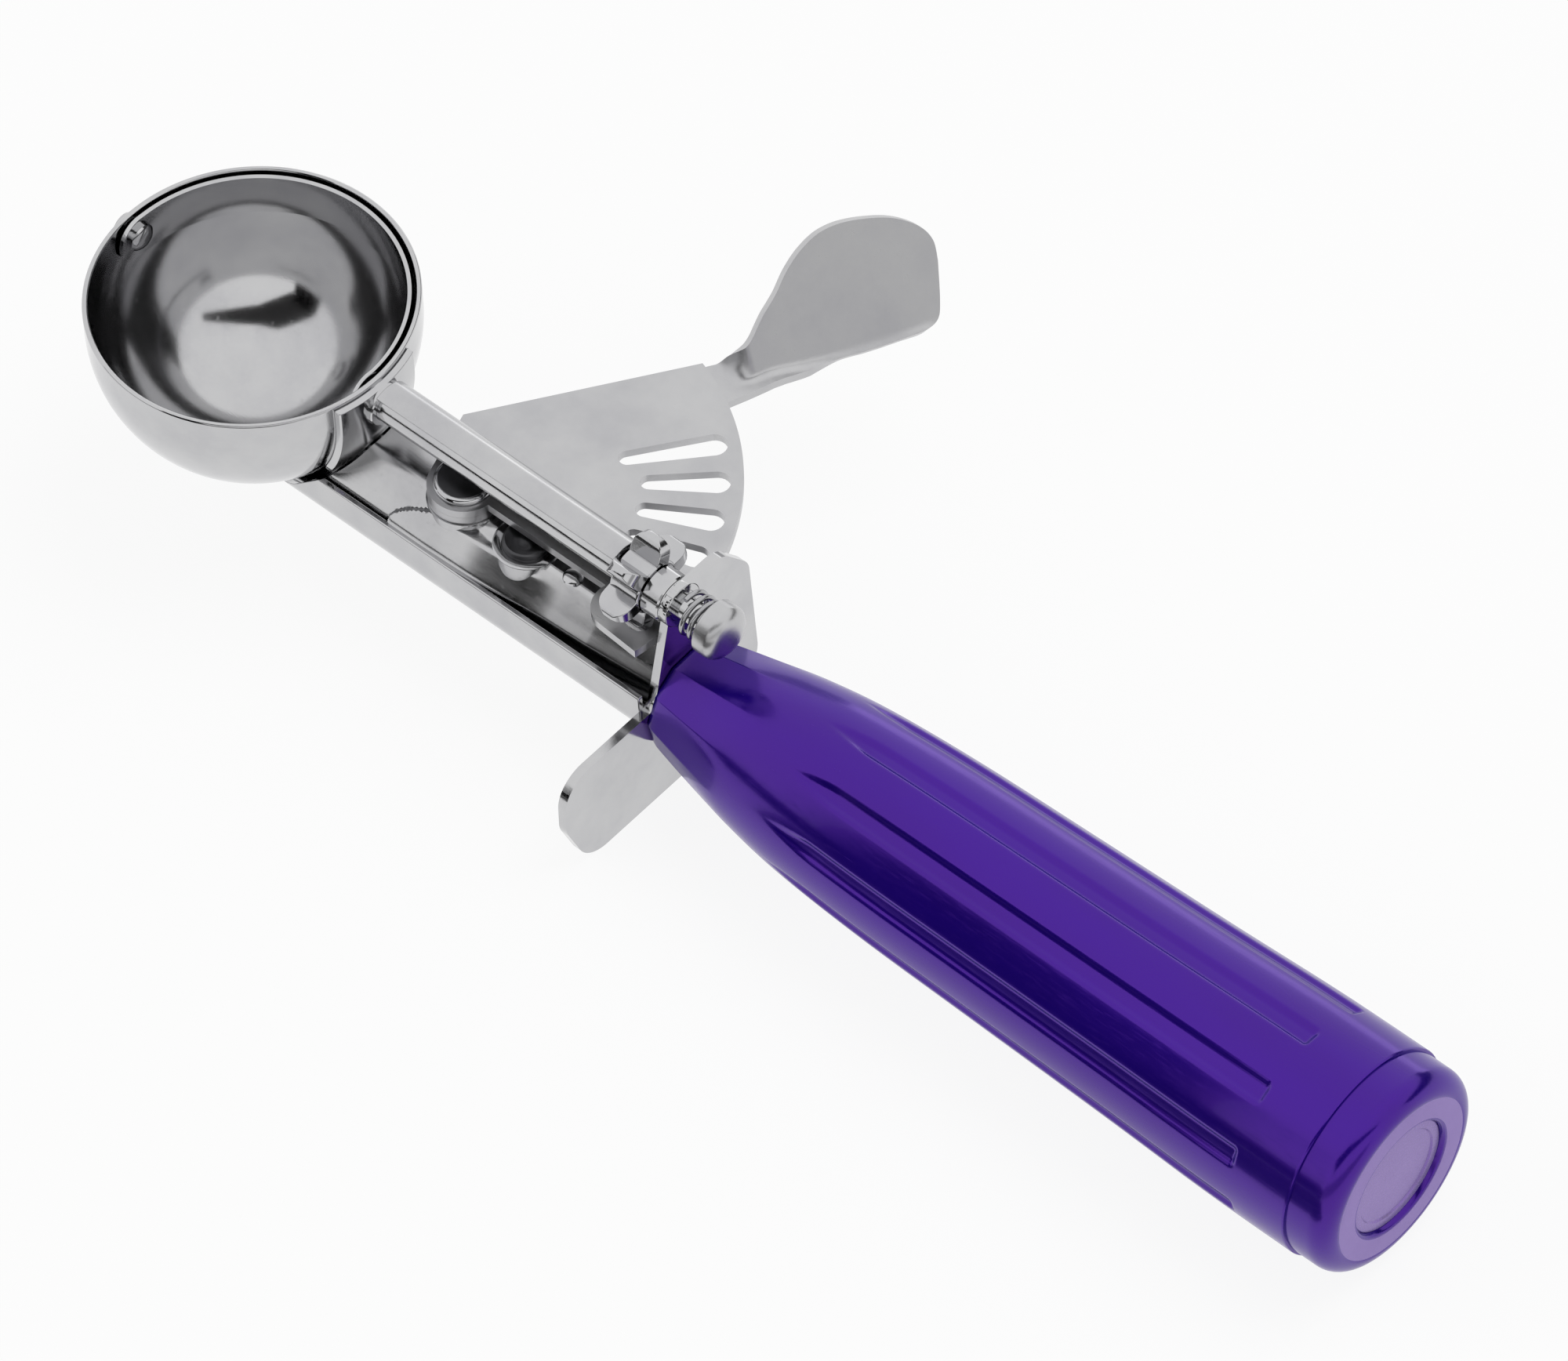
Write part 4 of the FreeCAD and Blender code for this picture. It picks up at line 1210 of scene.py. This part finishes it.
@dataclass
class Shank:
    """Channel, the pivot plate in it, the shaft's cover and the rivets."""

    bowl: Bowl
    half: float = 7.2
    wall: float = 0.8
    sheet: float = 1.0
    top: float = -15.6
    bottom: float = -23.6
    corner: float = 4.0
    web_top: float = -11.25
    web_near: float = -1.3
    slope_foot: float = -15.9
    slope_run: float = 3.5
    flange_foot: float = -19.6
    seat_foot: float = -15.0
    pivot_seat: float = 4.3
    brace_seat: float = 3.6
    ear_x: float = 26.6
    ear_rise: float = 1.0
    ear_edge: float = -6.2
    ear_half: float = 3.1
    ear_round: float = 5.5
    ear_fade: float = 52.0
    ear_lean: float = 0.7
    near_gap: tuple[Pair, ...] = ((16.0, 0.05), (33.0, 0.05), (45.0, 0.35), (58.0, 0.9), (68.3, 1.7))
    pivot: Pair = (PIVOT_X, 0.0)
    brace: Pair = (44.7, -0.6)
    small: Pair = (52.4, -0.9)
    cover_radius: float = 3.3
    cover_wall: float = 0.8
    cover_start: float = 0.55
    cover_end: float = 60.3
    cover_foot: float = -7.2

    def channel(self) -> bpy.types.Object:
        """Channel with rounded lower corners, its front cut to the saddle.

        Returns:
            The channel.
        """
        reach = self.half - self.wall / 2
        low = self.bottom + self.wall / 2
        turn = self.corner - self.wall / 2
        line = rounded([(-reach, self.top, 0.0), (-reach, low, turn), (reach, low, turn),
                        (reach, self.top, 0.0)], closed=False, steps=12)
        mesh = Mesh()
        swept(mesh, line, self.wall, self.bowl.start, GUARD_X, 12)
        return sharp(mesh.made("channel"))

    def form(self, x: float, y: float, z: float) -> Pair:
        """Draws the near wall inwards towards the guard, and raises the slope's round-ended ear.

        Args:
            x: Place along the shaft.
            y: Place across it.
            z: Height.

        Returns:
            The formed place across and height.
        """
        weight = min(max((self.web_near - y) / self.slope_run, 0.0), 1.0)
        left = self.ear_x + self.ear_round * max(0.0, (y - self.ear_edge) / self.ear_half) ** 2.2
        lift = self.ear_rise * ease((x - left) / 0.7) * ease((-2.4 - y) / 1.0) * ease((z + 17.2) / 1.2)
        lift *= ease((self.ear_fade - x) / 14.0)
        lean = lift * self.ear_lean
        return y + weight * read_off(self.near_gap, x) - lean, z + lean

    def plate(self) -> bpy.types.Object:
        """Bent plate: a flat web, a slope to the near wall, two flanges down and two round seats.

        Returns:
            The plate.
        """
        inner = self.half - self.sheet
        middle = self.sheet / 2
        near = -inner + middle
        web = self.web_top - middle
        line = rounded([(near, self.flange_foot, 0.0), (near, self.slope_foot, 1.2),
                        (self.web_near, web, 1.6), (inner - middle, web, 1.0),
                        (inner - middle, self.flange_foot, 0.0)], closed=False, steps=8)
        mesh = Mesh()
        swept(mesh, dense(line, 0.3), self.sheet, lambda y, z: self.bowl.start(y, z) + 0.2, GUARD_X, 230,
              self.form)
        low = self.seat_foot
        for (x, y), radius in ((self.pivot, self.pivot_seat), (self.brace, self.brace_seat)):
            seat = [(self.web_top - 0.6, 2.2), (self.web_top - 0.02, radius - 0.2),
                    (self.web_top - 0.2, radius), (low + 0.4, radius + 0.5), (low, radius), (low, 2.2)]
            mesh.turned(seat, Axis.UP, (x, y, 0.0), 72, True)
        return sharp(mesh.made("platform"))

    def cover(self) -> bpy.types.Object:
        """Sheet curled over the shaft with its far flange.

        Returns:
            The cover.
        """
        radius = self.cover_radius - self.cover_wall / 2
        line = arc((0.0, SHAFT_Z), radius, 124.0, 0.0, 24) + [(radius, self.cover_foot)]
        mesh = Mesh()
        swept(mesh, line, self.cover_wall, lambda y, z: self.bowl.start(y, z) + self.cover_start,
              self.cover_end, 10)
        return sharp(mesh.made("cover"))

    def rivets(self, bench: Bench) -> None:
        """Makes the turned pieces that stand on the web.

        Args:
            bench: What finishes them.
        """
        def upright(name: str, spot: Pair, nodes: list[str], line: Sequence[Pair], closed: bool = False,
                    look: Look | None = None) -> None:
            """One turned piece that stands on the web."""
            thing = turned_piece(name, line, Axis.UP, (*spot, 0.0), 64, closed)
            bench.keep(thing, Body.FRAME, Slot.POLISHED, nodes, look=look)
        upright("pivot_head", self.pivot, ["pivot_rivet"], [
            (-13.05, 0.0), (-13.05, 2.6), (-12.8, 3.1), (-12.4, 3.2), (-12.25, 3.2), (-12.25, 2.0),
            (-8.45, 2.0), (-8.45, 3.75), (-8.25, 3.85), (-8.0, 3.82), (-7.75, 3.6), (-7.6, 3.3),
            (-7.6, 0.0)])
        # Thin disc on the pivot head's top, painted dark as a painted reflection of the cover's inside
        upright("pivot_face", self.pivot, [], [
            (-7.62, 0.0), (-7.62, 3.28), (-7.54, 3.2), (-7.52, 2.9), (-7.52, 0.0)], look=Look.PAINTED_DARK_REFLECTION)
        upright("washer", self.pivot, ["pivot_washer"], [
            (-11.25, 2.0), (-11.25, 4.8), (-10.95, 4.8), (-10.95, 2.0)], closed=True)
        # The brace head takes the same painted dark reflection
        upright("brace_head", self.brace, ["brace_rivet"], [
            (-12.55, 0.0), (-12.55, 2.4), (-12.25, 2.4), (-12.25, 1.5), (-11.25, 1.5), (-11.25, 3.0),
            (-10.5, 3.0), (-10.25, 2.9), (-10.12, 2.65), (-10.2, 2.3), (-10.45, 1.7), (-10.5, 1.1),
            (-10.3, 0.7), (-10.25, 0.0)], look=Look.PAINTED_DARK_REFLECTION)
        upright("brace_ring", self.brace, ["brace_washer"], [
            (-11.25, 3.0), (-11.25, 4.1), (-11.0, 4.2), (-10.93, 4.0), (-10.93, 3.2), (-11.0, 3.0)],
            closed=True)
        upright("small_head", self.small, ["small_rivet"], [
            (-12.2, 0.0), (-12.2, 0.65), (-11.25, 0.65), (-11.25, 1.3), (-11.0, 1.25), (-10.75, 0.95),
            (-10.62, 0.5), (-10.6, 0.0)])

    def build(self, bench: Bench) -> None:
        """Makes the shank's pieces.

        Args:
            bench: What finishes them.
        """
        bench.keep(self.channel(), Body.FRAME, Slot.POLISHED, ["shank_channel"], edge=0.18)
        bench.keep(self.plate(), Body.FRAME, Slot.POLISHED, ["pivot_plate"], look=Look.BRUSHED)
        bench.keep(self.cover(), Body.FRAME, Slot.POLISHED, ["shaft_cover"], edge=0.14, look=Look.BRUSHED)
        self.rivets(bench)
        bench.dress("tang", Slot.SATIN)
        bench.dress("shank_rivets", Slot.POLISHED)


@dataclass
class Guard:
    """Finger guard and the shaft's rear bearing."""

    sheet: float = 1.2
    hole: float = 3.0
    corners: tuple[Triple, ...] = (
        (-1.6, -0.8, 1.0), (7.2, -0.8, 4.0), (11.6, -6.5, 4.0), (12.4, -24.0, 5.0), (5.5, -34.5, 7.0),
        (-18.6, -34.5, 5.0), (-21.9, -26.0, 5.0), (-21.7, -17.9, 4.4), (-5.8, -17.9, 1.6))
    ring: tuple[Pair, ...] = ((68.25, 2.1), (68.25, 2.9), (68.4, 3.0), (69.4, 3.0), (69.55, 2.9),
                              (69.55, 2.1))

    def build(self, bench: Bench) -> None:
        """Makes the guard and its bearing.

        Args:
            bench: What finishes them.
        """
        mesh = Mesh()
        hole = arc((0.0, SHAFT_Z), self.hole, 0.0, -352.0, 44)
        plate(mesh, rounded(self.corners, steps=14), [hole], GUARD_X, GUARD_X + self.sheet,
              lambda y, z, x: (x, y, z))
        bench.keep(sharp(mesh.made("guard")), Body.FRAME, Slot.POLISHED, ["guard_plate"], edge=0.2)
        ring = turned_piece("rear_ring", self.ring, Axis.ALONG, (0.0, 0.0, SHAFT_Z), 48, True)
        bench.keep(ring, Body.FRAME, Slot.POLISHED, ["rear_bearing"])


@dataclass
class Spring:
    """Torsion spring round the shaft's tail, swept along its path by a node tree."""

    radius: float = 2.6
    wire: float = 0.7
    turns: int = 3
    turn_steps: int = 40
    pitch: float = 1.25
    start: float = 70.75

    def path(self) -> bpy.types.Object:
        """Curve along the coil's middle, with a short leg at each end.

        Returns:
            The curve's object.
        """
        spots = []
        for index in range(self.turns * self.turn_steps + 1):
            turn = 2 * math.pi * index / self.turn_steps
            spots.append((self.start + self.pitch * index / self.turn_steps,
                          self.radius * math.sin(turn), SHAFT_Z + self.radius * math.cos(turn)))
        spots.insert(0, (spots[0][0], -self.wire, spots[0][2]))
        spots.append((spots[-1][0], self.wire, spots[-1][2]))
        data = bpy.data.curves.new("spring_path", "CURVE")
        data.dimensions = "3D"
        spline = data.splines.new("POLY")
        spline.points.add(len(spots) - 1)
        for point, spot in zip(spline.points, spots):
            point.co = (*place(*spot), 1.0)
        return linked("spring_path", data)

    def build(self, bench: Bench) -> None:
        """Sweeps the wire and keeps it as a plain mesh.

        Args:
            bench: What finishes it.
        """
        former = Former("wire_sweep", {"Wire radius": self.wire / 2 * MM})
        graph = former.graph
        section = graph.add("GeometryNodeCurvePrimitiveCircle", {}, {
            "Resolution": 14, "Radius": former.size["Wire radius"]})
        tube = graph.add("GeometryNodeCurveToMesh", {}, {
            "Curve": former.form, "Profile Curve": section, "Fill Caps": True})
        piece = former.piece("spring", self.path(), tube, bench.materials[Slot.SPRING])
        bench.keep(sharp(piece), Body.FRAME, Slot.SPRING, ["return_spring"])


@dataclass
class Grip:
    """Moulded handle: a turned form with flutes and front flats pressed into it by a node tree."""

    axis_z: float = -20.0
    front: float = 69.5
    end: float = 180.2
    ring_x: float = 174.3
    step: float = 0.35
    fillet: float = 2.6
    recess: float = 7.8
    recess_deep: float = 2.2
    segments: int = 360
    gap: float = 0.9
    fine_gap: float = 0.16
    fine_reach: float = 1.6
    flutes: int = 10
    flute_phase: float = 14.0
    flute_half: float = 6.7
    flute_deep: float = 0.5
    flute_wall: float = 0.9
    flute_start: float = 91.5
    flute_lead: float = 7.0
    flute_end: float = 166.4
    flats: int = 11
    flat_phase: float = 27.2
    flat_end: float = 84.0
    flat_run: float = 12.0
    line: tuple[Pair, ...] = ((69.5, 7.4), (75.7, 8.83), (84.3, 10.55), (93.3, 11.75), (106.7, 12.55),
                              (124.0, 13.0), (145.0, 13.5), (161.0, 14.0), (174.3, 14.1))

    @property
    def edge(self) -> float:
        """Radius behind the ring step."""
        return self.line[-1][1] - self.step

    def profile(self) -> list[Pair]:
        """Section of the whole handle from its front face to its recess.

        Returns:
            Its points.
        """
        smooth = smooth_line(self.line, 500)
        count = int((self.ring_x - self.front) / self.gap)
        stations = [self.front + self.gap * k for k in range(1, count + 1)]
        stations += [self.flute_end - self.fine_reach + self.fine_gap * k for k in range(13)]
        rim = self.line[-1][1]
        corner = self.end - self.fillet
        lip = self.end - 0.04
        floor = self.end - self.recess_deep
        found = [(self.front, 0.0), (self.front, 7.0), (self.front + 0.15, 7.3)]
        found += [(x, read_off(smooth, x)) for x in sorted(stations)]
        found += [(self.ring_x - 0.2, rim), (self.ring_x - 0.05, rim - 0.06), (self.ring_x, self.edge)]
        found += [(self.ring_x + 0.3 + self.gap * k, self.edge) for k in range(4)]
        found += [(corner + q, self.edge - self.fillet + p)
                  for p, q in (polar(self.fillet, a) for a in range(0, 91, 9))]
        found += [(lip, self.edge - self.fillet - 0.1), (lip, self.recess + 0.3),
                  (self.end - 0.3, self.recess), (floor, self.recess), (floor, 0.0)]
        return found

    def off_centre(self, turn: Wire, count: Wire, phase: Wire) -> Wire:
        """Angle in degrees from the middle of the nearest of a ring of marks.

        Args:
            turn: Angle of the place.
            count: Number of marks.
            phase: Angle of the first.

        Returns:
            The angle between them.
        """
        pitch = count.math("DIVIDE", 360.0, swap=True)
        share = ((turn - phase) / pitch + 0.5).math("FRACT") - 0.5
        return share.math("ABSOLUTE") * pitch

    def flute(self, size: dict[str, Wire], x: Wire, turn: Wire, radius: Wire) -> Wire:
        """Depth of the flutes, which start in a point and end square.

        Args:
            size: The tree's sizes.
            x: Place along the handle.
            turn: Angle of the place.
            radius: Its radius.

        Returns:
            How far the place is pressed in.
        """
        lead = ((x - size["Start"]) / size["Lead"]).math("MAXIMUM", 0.0).math("MINIMUM", 1.0)
        half = size["Flute half angle"] * lead ** 0.5
        aside = self.off_centre(turn, size["Flutes"], size["Flute phase"])
        inward = (half - aside).math("RADIANS") * radius
        over_side = (size["Wall"] - inward).math("MAXIMUM", 0.0)
        over_end = (size["Wall"] - (size["End"] - x)).math("MAXIMUM", 0.0)
        inside = 1.0 - (over_side * over_side + over_end * over_end) ** 0.5 / size["Wall"]
        return inside.step(0.0, 1.0) * size["Depth"] * lead

    def flat(self, size: dict[str, Wire], x: Wire, turn: Wire, radius: Wire) -> Wire:
        """Depth of the front flats, which fade out along the handle.

        Args:
            size: The tree's sizes.
            x: Place along the handle.
            turn: Angle of the place.
            radius: Its radius.

        Returns:
            How far the place is pressed in.
        """
        lean = self.off_centre(turn, size["Flats"], size["Flat phase"]).math("RADIANS").math("COSINE")
        edge = size["Flats"].math("DIVIDE", math.pi, swap=True).math("COSINE")
        near = (size["Flat end"] - x) / size["Flat run"]
        return (1.0 - edge / lean) * radius * near.step(0.0, 1.0)

    def body(self, finish: bpy.types.Material) -> bpy.types.Object:
        """Handle with its flutes and flats.

        Args:
            finish: Its material.

        Returns:
            The handle.
        """
        centre = place(0.0, 0.0, self.axis_z)
        former = Former("flutes", {
            "Flutes": float(self.flutes), "Flute phase": self.flute_phase,
            "Flute half angle": self.flute_half, "Depth": self.flute_deep * MM,
            "Wall": self.flute_wall * MM, "Start": place(self.flute_start, 0, 0).x,
            "Lead": self.flute_lead * MM, "End": place(self.flute_end, 0, 0).x,
            "Flats": float(self.flats), "Flat phase": self.flat_phase,
            "Flat end": place(self.flat_end, 0, 0).x, "Flat run": self.flat_run * MM,
            "Axis height": centre.z, "Axis side": centre.y})
        graph = former.graph
        size = former.size
        apart = graph.node("ShaderNodeSeparateXYZ", {}, {0: graph.add("GeometryNodeInputPosition")})
        x = Wire(graph, apart.outputs[0])
        across = Wire(graph, apart.outputs[1]) - size["Axis side"]
        up = Wire(graph, apart.outputs[2]) - size["Axis height"]
        radius = (across * across + up * up) ** 0.5
        turn = up.math("ARCTAN2", across).math("DEGREES")
        pressed = self.flute(size, x, turn, radius) + self.flat(size, x, turn, radius)
        scale = pressed / (radius + 1e-6)
        offset = graph.add("ShaderNodeCombineXYZ", {}, {"X": 0.0, "Y": across * scale * -1.0,
                                                        "Z": up * scale * -1.0})
        moved = graph.add("GeometryNodeSetPosition", {}, {"Geometry": former.form, "Offset": offset})
        form = turned_piece("grip", self.profile(), Axis.ALONG, (0.0, 0.0, self.axis_z), self.segments)
        return sharp(former.piece("grip_body", form, moved, finish), 50.0)

    def butt(self, name: str, line: Sequence[Pair], closed: bool = False) -> bpy.types.Object:
        """Piece turned about the handle's line."""
        return turned_piece(name, line, Axis.ALONG, (0.0, 0.0, self.axis_z), 96, closed)

    def build(self, bench: Bench) -> None:
        """Makes the handle, its end face painted a lighter violet as a painted reflection, and the disc in
        its recess.

        Args:
            bench: What finishes them.
        """
        handle = self.body(bench.materials[Slot.GRIP])
        bench.keep(handle, Body.FRAME, Slot.GRIP, ["handle_grip"])
        rim = self.edge - self.fillet
        # Thin shell over the end face, painted lighter violet as a painted reflection
        face = self.butt("end_face", [
            (self.end - 0.1, self.recess + 0.4), (self.end - 0.01, self.recess + 0.5),
            (self.end, rim - 0.4), (self.end - 0.05, rim + 0.3), (self.end - 0.1, rim + 0.2)], True)
        bench.keep(face, Body.FRAME, Slot.GRIP, look=Look.PAINTED_REFLECTION)
        floor = self.end - self.recess_deep
        disc = self.butt("end_disc", [
            (floor, 0.0), (floor, self.recess - 0.02), (floor + 1.35, self.recess - 0.02),
            (floor + 1.5, self.recess - 0.2), (floor + 1.5, 6.5), (floor + 1.3, 6.3), (floor + 1.3, 0.0)])
        bench.keep(disc, Body.FRAME, Slot.BUTT, ["butt_disc"])


def shown(graph: Graph, lit: Wire, seen: Wire) -> Wire:
    """Shader that shows one thing to the camera and to reflections, and lights with the other.

    Args:
        graph: The nodes it joins.
        lit: What lights the scoop.
        seen: What shows.

    Returns:
        The shader.
    """
    path = graph.node("ShaderNodeLightPath")
    camera = Wire(graph, path.outputs["Is Camera Ray"])
    glossy = Wire(graph, path.outputs["Is Glossy Ray"])
    through = Wire(graph, path.outputs["Is Transmission Ray"])
    share = (camera + glossy + through).math("MINIMUM", 1.0)
    return graph.add("ShaderNodeMixShader", {}, {0: share, 1: lit, 2: seen})


def oblong(width: float, height: float) -> list[Pair]:
    """Corners of an oblong about its middle.

    Args:
        width: Its size across.
        height: Its size up.

    Returns:
        The corners in order.
    """
    x = width / 2
    y = height / 2
    return [(-x, -y), (x, -y), (x, y), (-x, y)]


def hung(azimuth: float, elevation: float, outline: Sequence[Pair],
         reach: float = 1.7) -> tuple[Vector, ...]:
    """Corners of a flag that faces the scoop.

    Args:
        azimuth: Its direction from the scoop in degrees, from +X towards +Y.
        elevation: Its height in degrees.
        outline: Its corners in metres, to the right and up as seen from the scoop.
        reach: Its distance in metres.

    Returns:
        The corners' places.
    """
    a = math.radians(azimuth)
    e = math.radians(elevation)
    out = Vector((math.cos(a) * math.cos(e), math.sin(a) * math.cos(e), math.sin(e)))
    right = out.cross(Vector((0.0, 0.0, 1.0))).normalized()
    rise = right.cross(out)
    return tuple(out * reach + right * x + rise * y for x, y in outline)


@dataclass(frozen=True)
class Flag:
    """Flat flag that only steel and gloss reflect."""

    name: str
    tone: float
    corners: tuple[Triple | Vector, ...]

    def build(self) -> None:
        """Hangs the flag."""
        mesh = bpy.data.meshes.new(self.name)
        mesh.from_pydata(self.corners, [], [tuple(range(len(self.corners)))])
        flag = linked(self.name, mesh)
        material = bpy.data.materials.new(self.name)
        graph = cleared(material)
        glow = graph.add("ShaderNodeEmission", {}, {"Color": WHITE, "Strength": self.tone})
        graph.node("ShaderNodeOutputMaterial", {}, {"Surface": glow})
        mesh.materials.append(material)
        flag.visible_camera = False
        flag.visible_diffuse = False
        flag.visible_shadow = False
        flag.visible_transmission = False


@dataclass(frozen=True)
class Lamp:
    """Square soft lamp that looks at the scoop."""

    name: str
    spot: Triple
    size: float
    power: float

    def build(self) -> None:
        """Hangs the lamp."""
        data = bpy.data.lights.new(self.name, "AREA")
        data.shape = "SQUARE"
        data.size = self.size
        data.energy = self.power
        lamp = linked(self.name, data)
        lamp.location = self.spot
        lamp.rotation_mode = "QUATERNION"
        lamp.rotation_quaternion = (-Vector(self.spot)).to_track_quat("-Z", "Y")
        lamp.visible_glossy = False


@dataclass
class Studio:
    """Pale floor, soft lamps, flags that steel reflects, and the camera."""

    light: float = 0.55
    floor_reach: float = 6.0
    floor_tone: float = 0.8
    floor_glow: float = 0.9
    lamps: tuple[Lamp, ...] = (
        Lamp("key", spot=(0.3, 0.5, 1.4), size=1.0, power=9.0),
        Lamp("fill", spot=(-0.8, -0.8, 0.9), size=0.8, power=3.0))
    flags: tuple[Flag, ...] = (
        Flag("flag_camera", 0.03, hung(-45.8, 50.0, [
            (-1.3, -0.02), (0.1, -0.12), (1.0, -0.42), (1.55, 0.22), (0.5, 0.42), (0.1, 0.3),
            (-1.3, 0.16)])),
        Flag("room_near", 0.46, hung(-45.8, 12.0, oblong(3.4, 0.5))),
        Flag("flag_far", 0.03, hung(70.0, 12.0, oblong(2.4, 0.5))),
        Flag("flag_low", 0.02, hung(-117.0, 5.0, oblong(1.7, 0.34))),
        Flag("flag_grip", 0.0, ((-0.108, -0.25, 0.0), (-0.012, -0.25, 0.0), (-0.04, -0.25, 0.21),
                                (-0.138, -0.25, 0.21))),
        Flag("floor_card", 0.08, ((-0.42, -0.7, 0.002), (0.16, -0.7, 0.002), (0.12, -0.07, 0.002),
                                  (-0.02, -0.07, 0.002))),
        Flag("strip_far", 1.7, hung(116.0, 5.0, oblong(1.0, 0.28))))
    sensor: float = 36.0
    lens: float = 288.2
    clip: Pair = (0.05, 50.0)
    camera: Triple = (0.6413685, -0.6729655, 1.1910404)
    right: Triple = (0.7462481, 0.6647916, -0.0341460)
    up: Triple = (-0.5079590, 0.6018512, 0.6162408)
    back: Triple = (0.4302225, -0.4425238, 0.7868172)

    def world(self) -> None:
        """Plain pale surroundings."""
        world = bpy.data.worlds.new("studio")
        graph = cleared(world)
        lit = graph.add("ShaderNodeBackground", {}, {"Color": WHITE, "Strength": self.light})
        seen = graph.add("ShaderNodeBackground", {}, {"Color": WHITE, "Strength": 1.0})
        graph.node("ShaderNodeOutputWorld", {}, {"Surface": shown(graph, lit, seen)})
        bpy.context.scene.world = world

    def floor(self) -> None:
        """Wide pale floor under the scoop."""
        side = 2 * self.floor_reach
        mesh = bpy.data.meshes.new("floor")
        mesh.from_pydata([(x, y, 0) for x, y in oblong(side, side)], [], [(0, 1, 2, 3)])
        floor = linked("floor", mesh)
        material = bpy.data.materials.new("floor_paint")
        graph = cleared(material)
        tone = self.floor_tone
        matt = graph.add("ShaderNodeBsdfDiffuse", {}, {"Color": (tone, tone, tone, 1.0)})
        glow = graph.add("ShaderNodeEmission", {}, {"Color": WHITE, "Strength": 1.0})
        pale = graph.add("ShaderNodeMixShader", {}, {0: self.floor_glow, 1: matt, 2: glow})
        graph.node("ShaderNodeOutputMaterial", {}, {"Surface": shown(graph, matt, pale)})
        mesh.materials.append(material)

    def view(self) -> None:
        """Camera at the photograph's place, angle and framing."""
        data = bpy.data.cameras.new("camera")
        data.sensor_width = self.sensor
        data.lens = self.lens
        data.clip_start, data.clip_end = self.clip
        camera = linked("camera", data)
        turn = Matrix((self.right, self.up, self.back)).transposed()
        camera.matrix_world = Matrix.Translation(self.camera) @ turn.to_4x4()
        bpy.context.scene.camera = camera
        bpy.context.scene.view_settings.view_transform = "Standard"

    def build(self) -> None:
        """Sets everything round the scoop."""
        self.world()
        self.floor()
        for thing in (*self.lamps, *self.flags):
            thing.build()
        self.view()


def main() -> None:
    """Builds the scoop's pieces in order, then the studio."""
    logging.basicConfig(level=logging.INFO, format="%(name)s: %(message)s")
    bench = Bench()
    bowl = Bowl()
    for part in (bowl, Scraper(), Lever(), Shank(bowl), Guard(), Spring(), Grip()):
        part.build(bench)
    Studio().build()
    LOG.info("%d pieces made", bench.count)


if __name__ == "__main__":
    main()
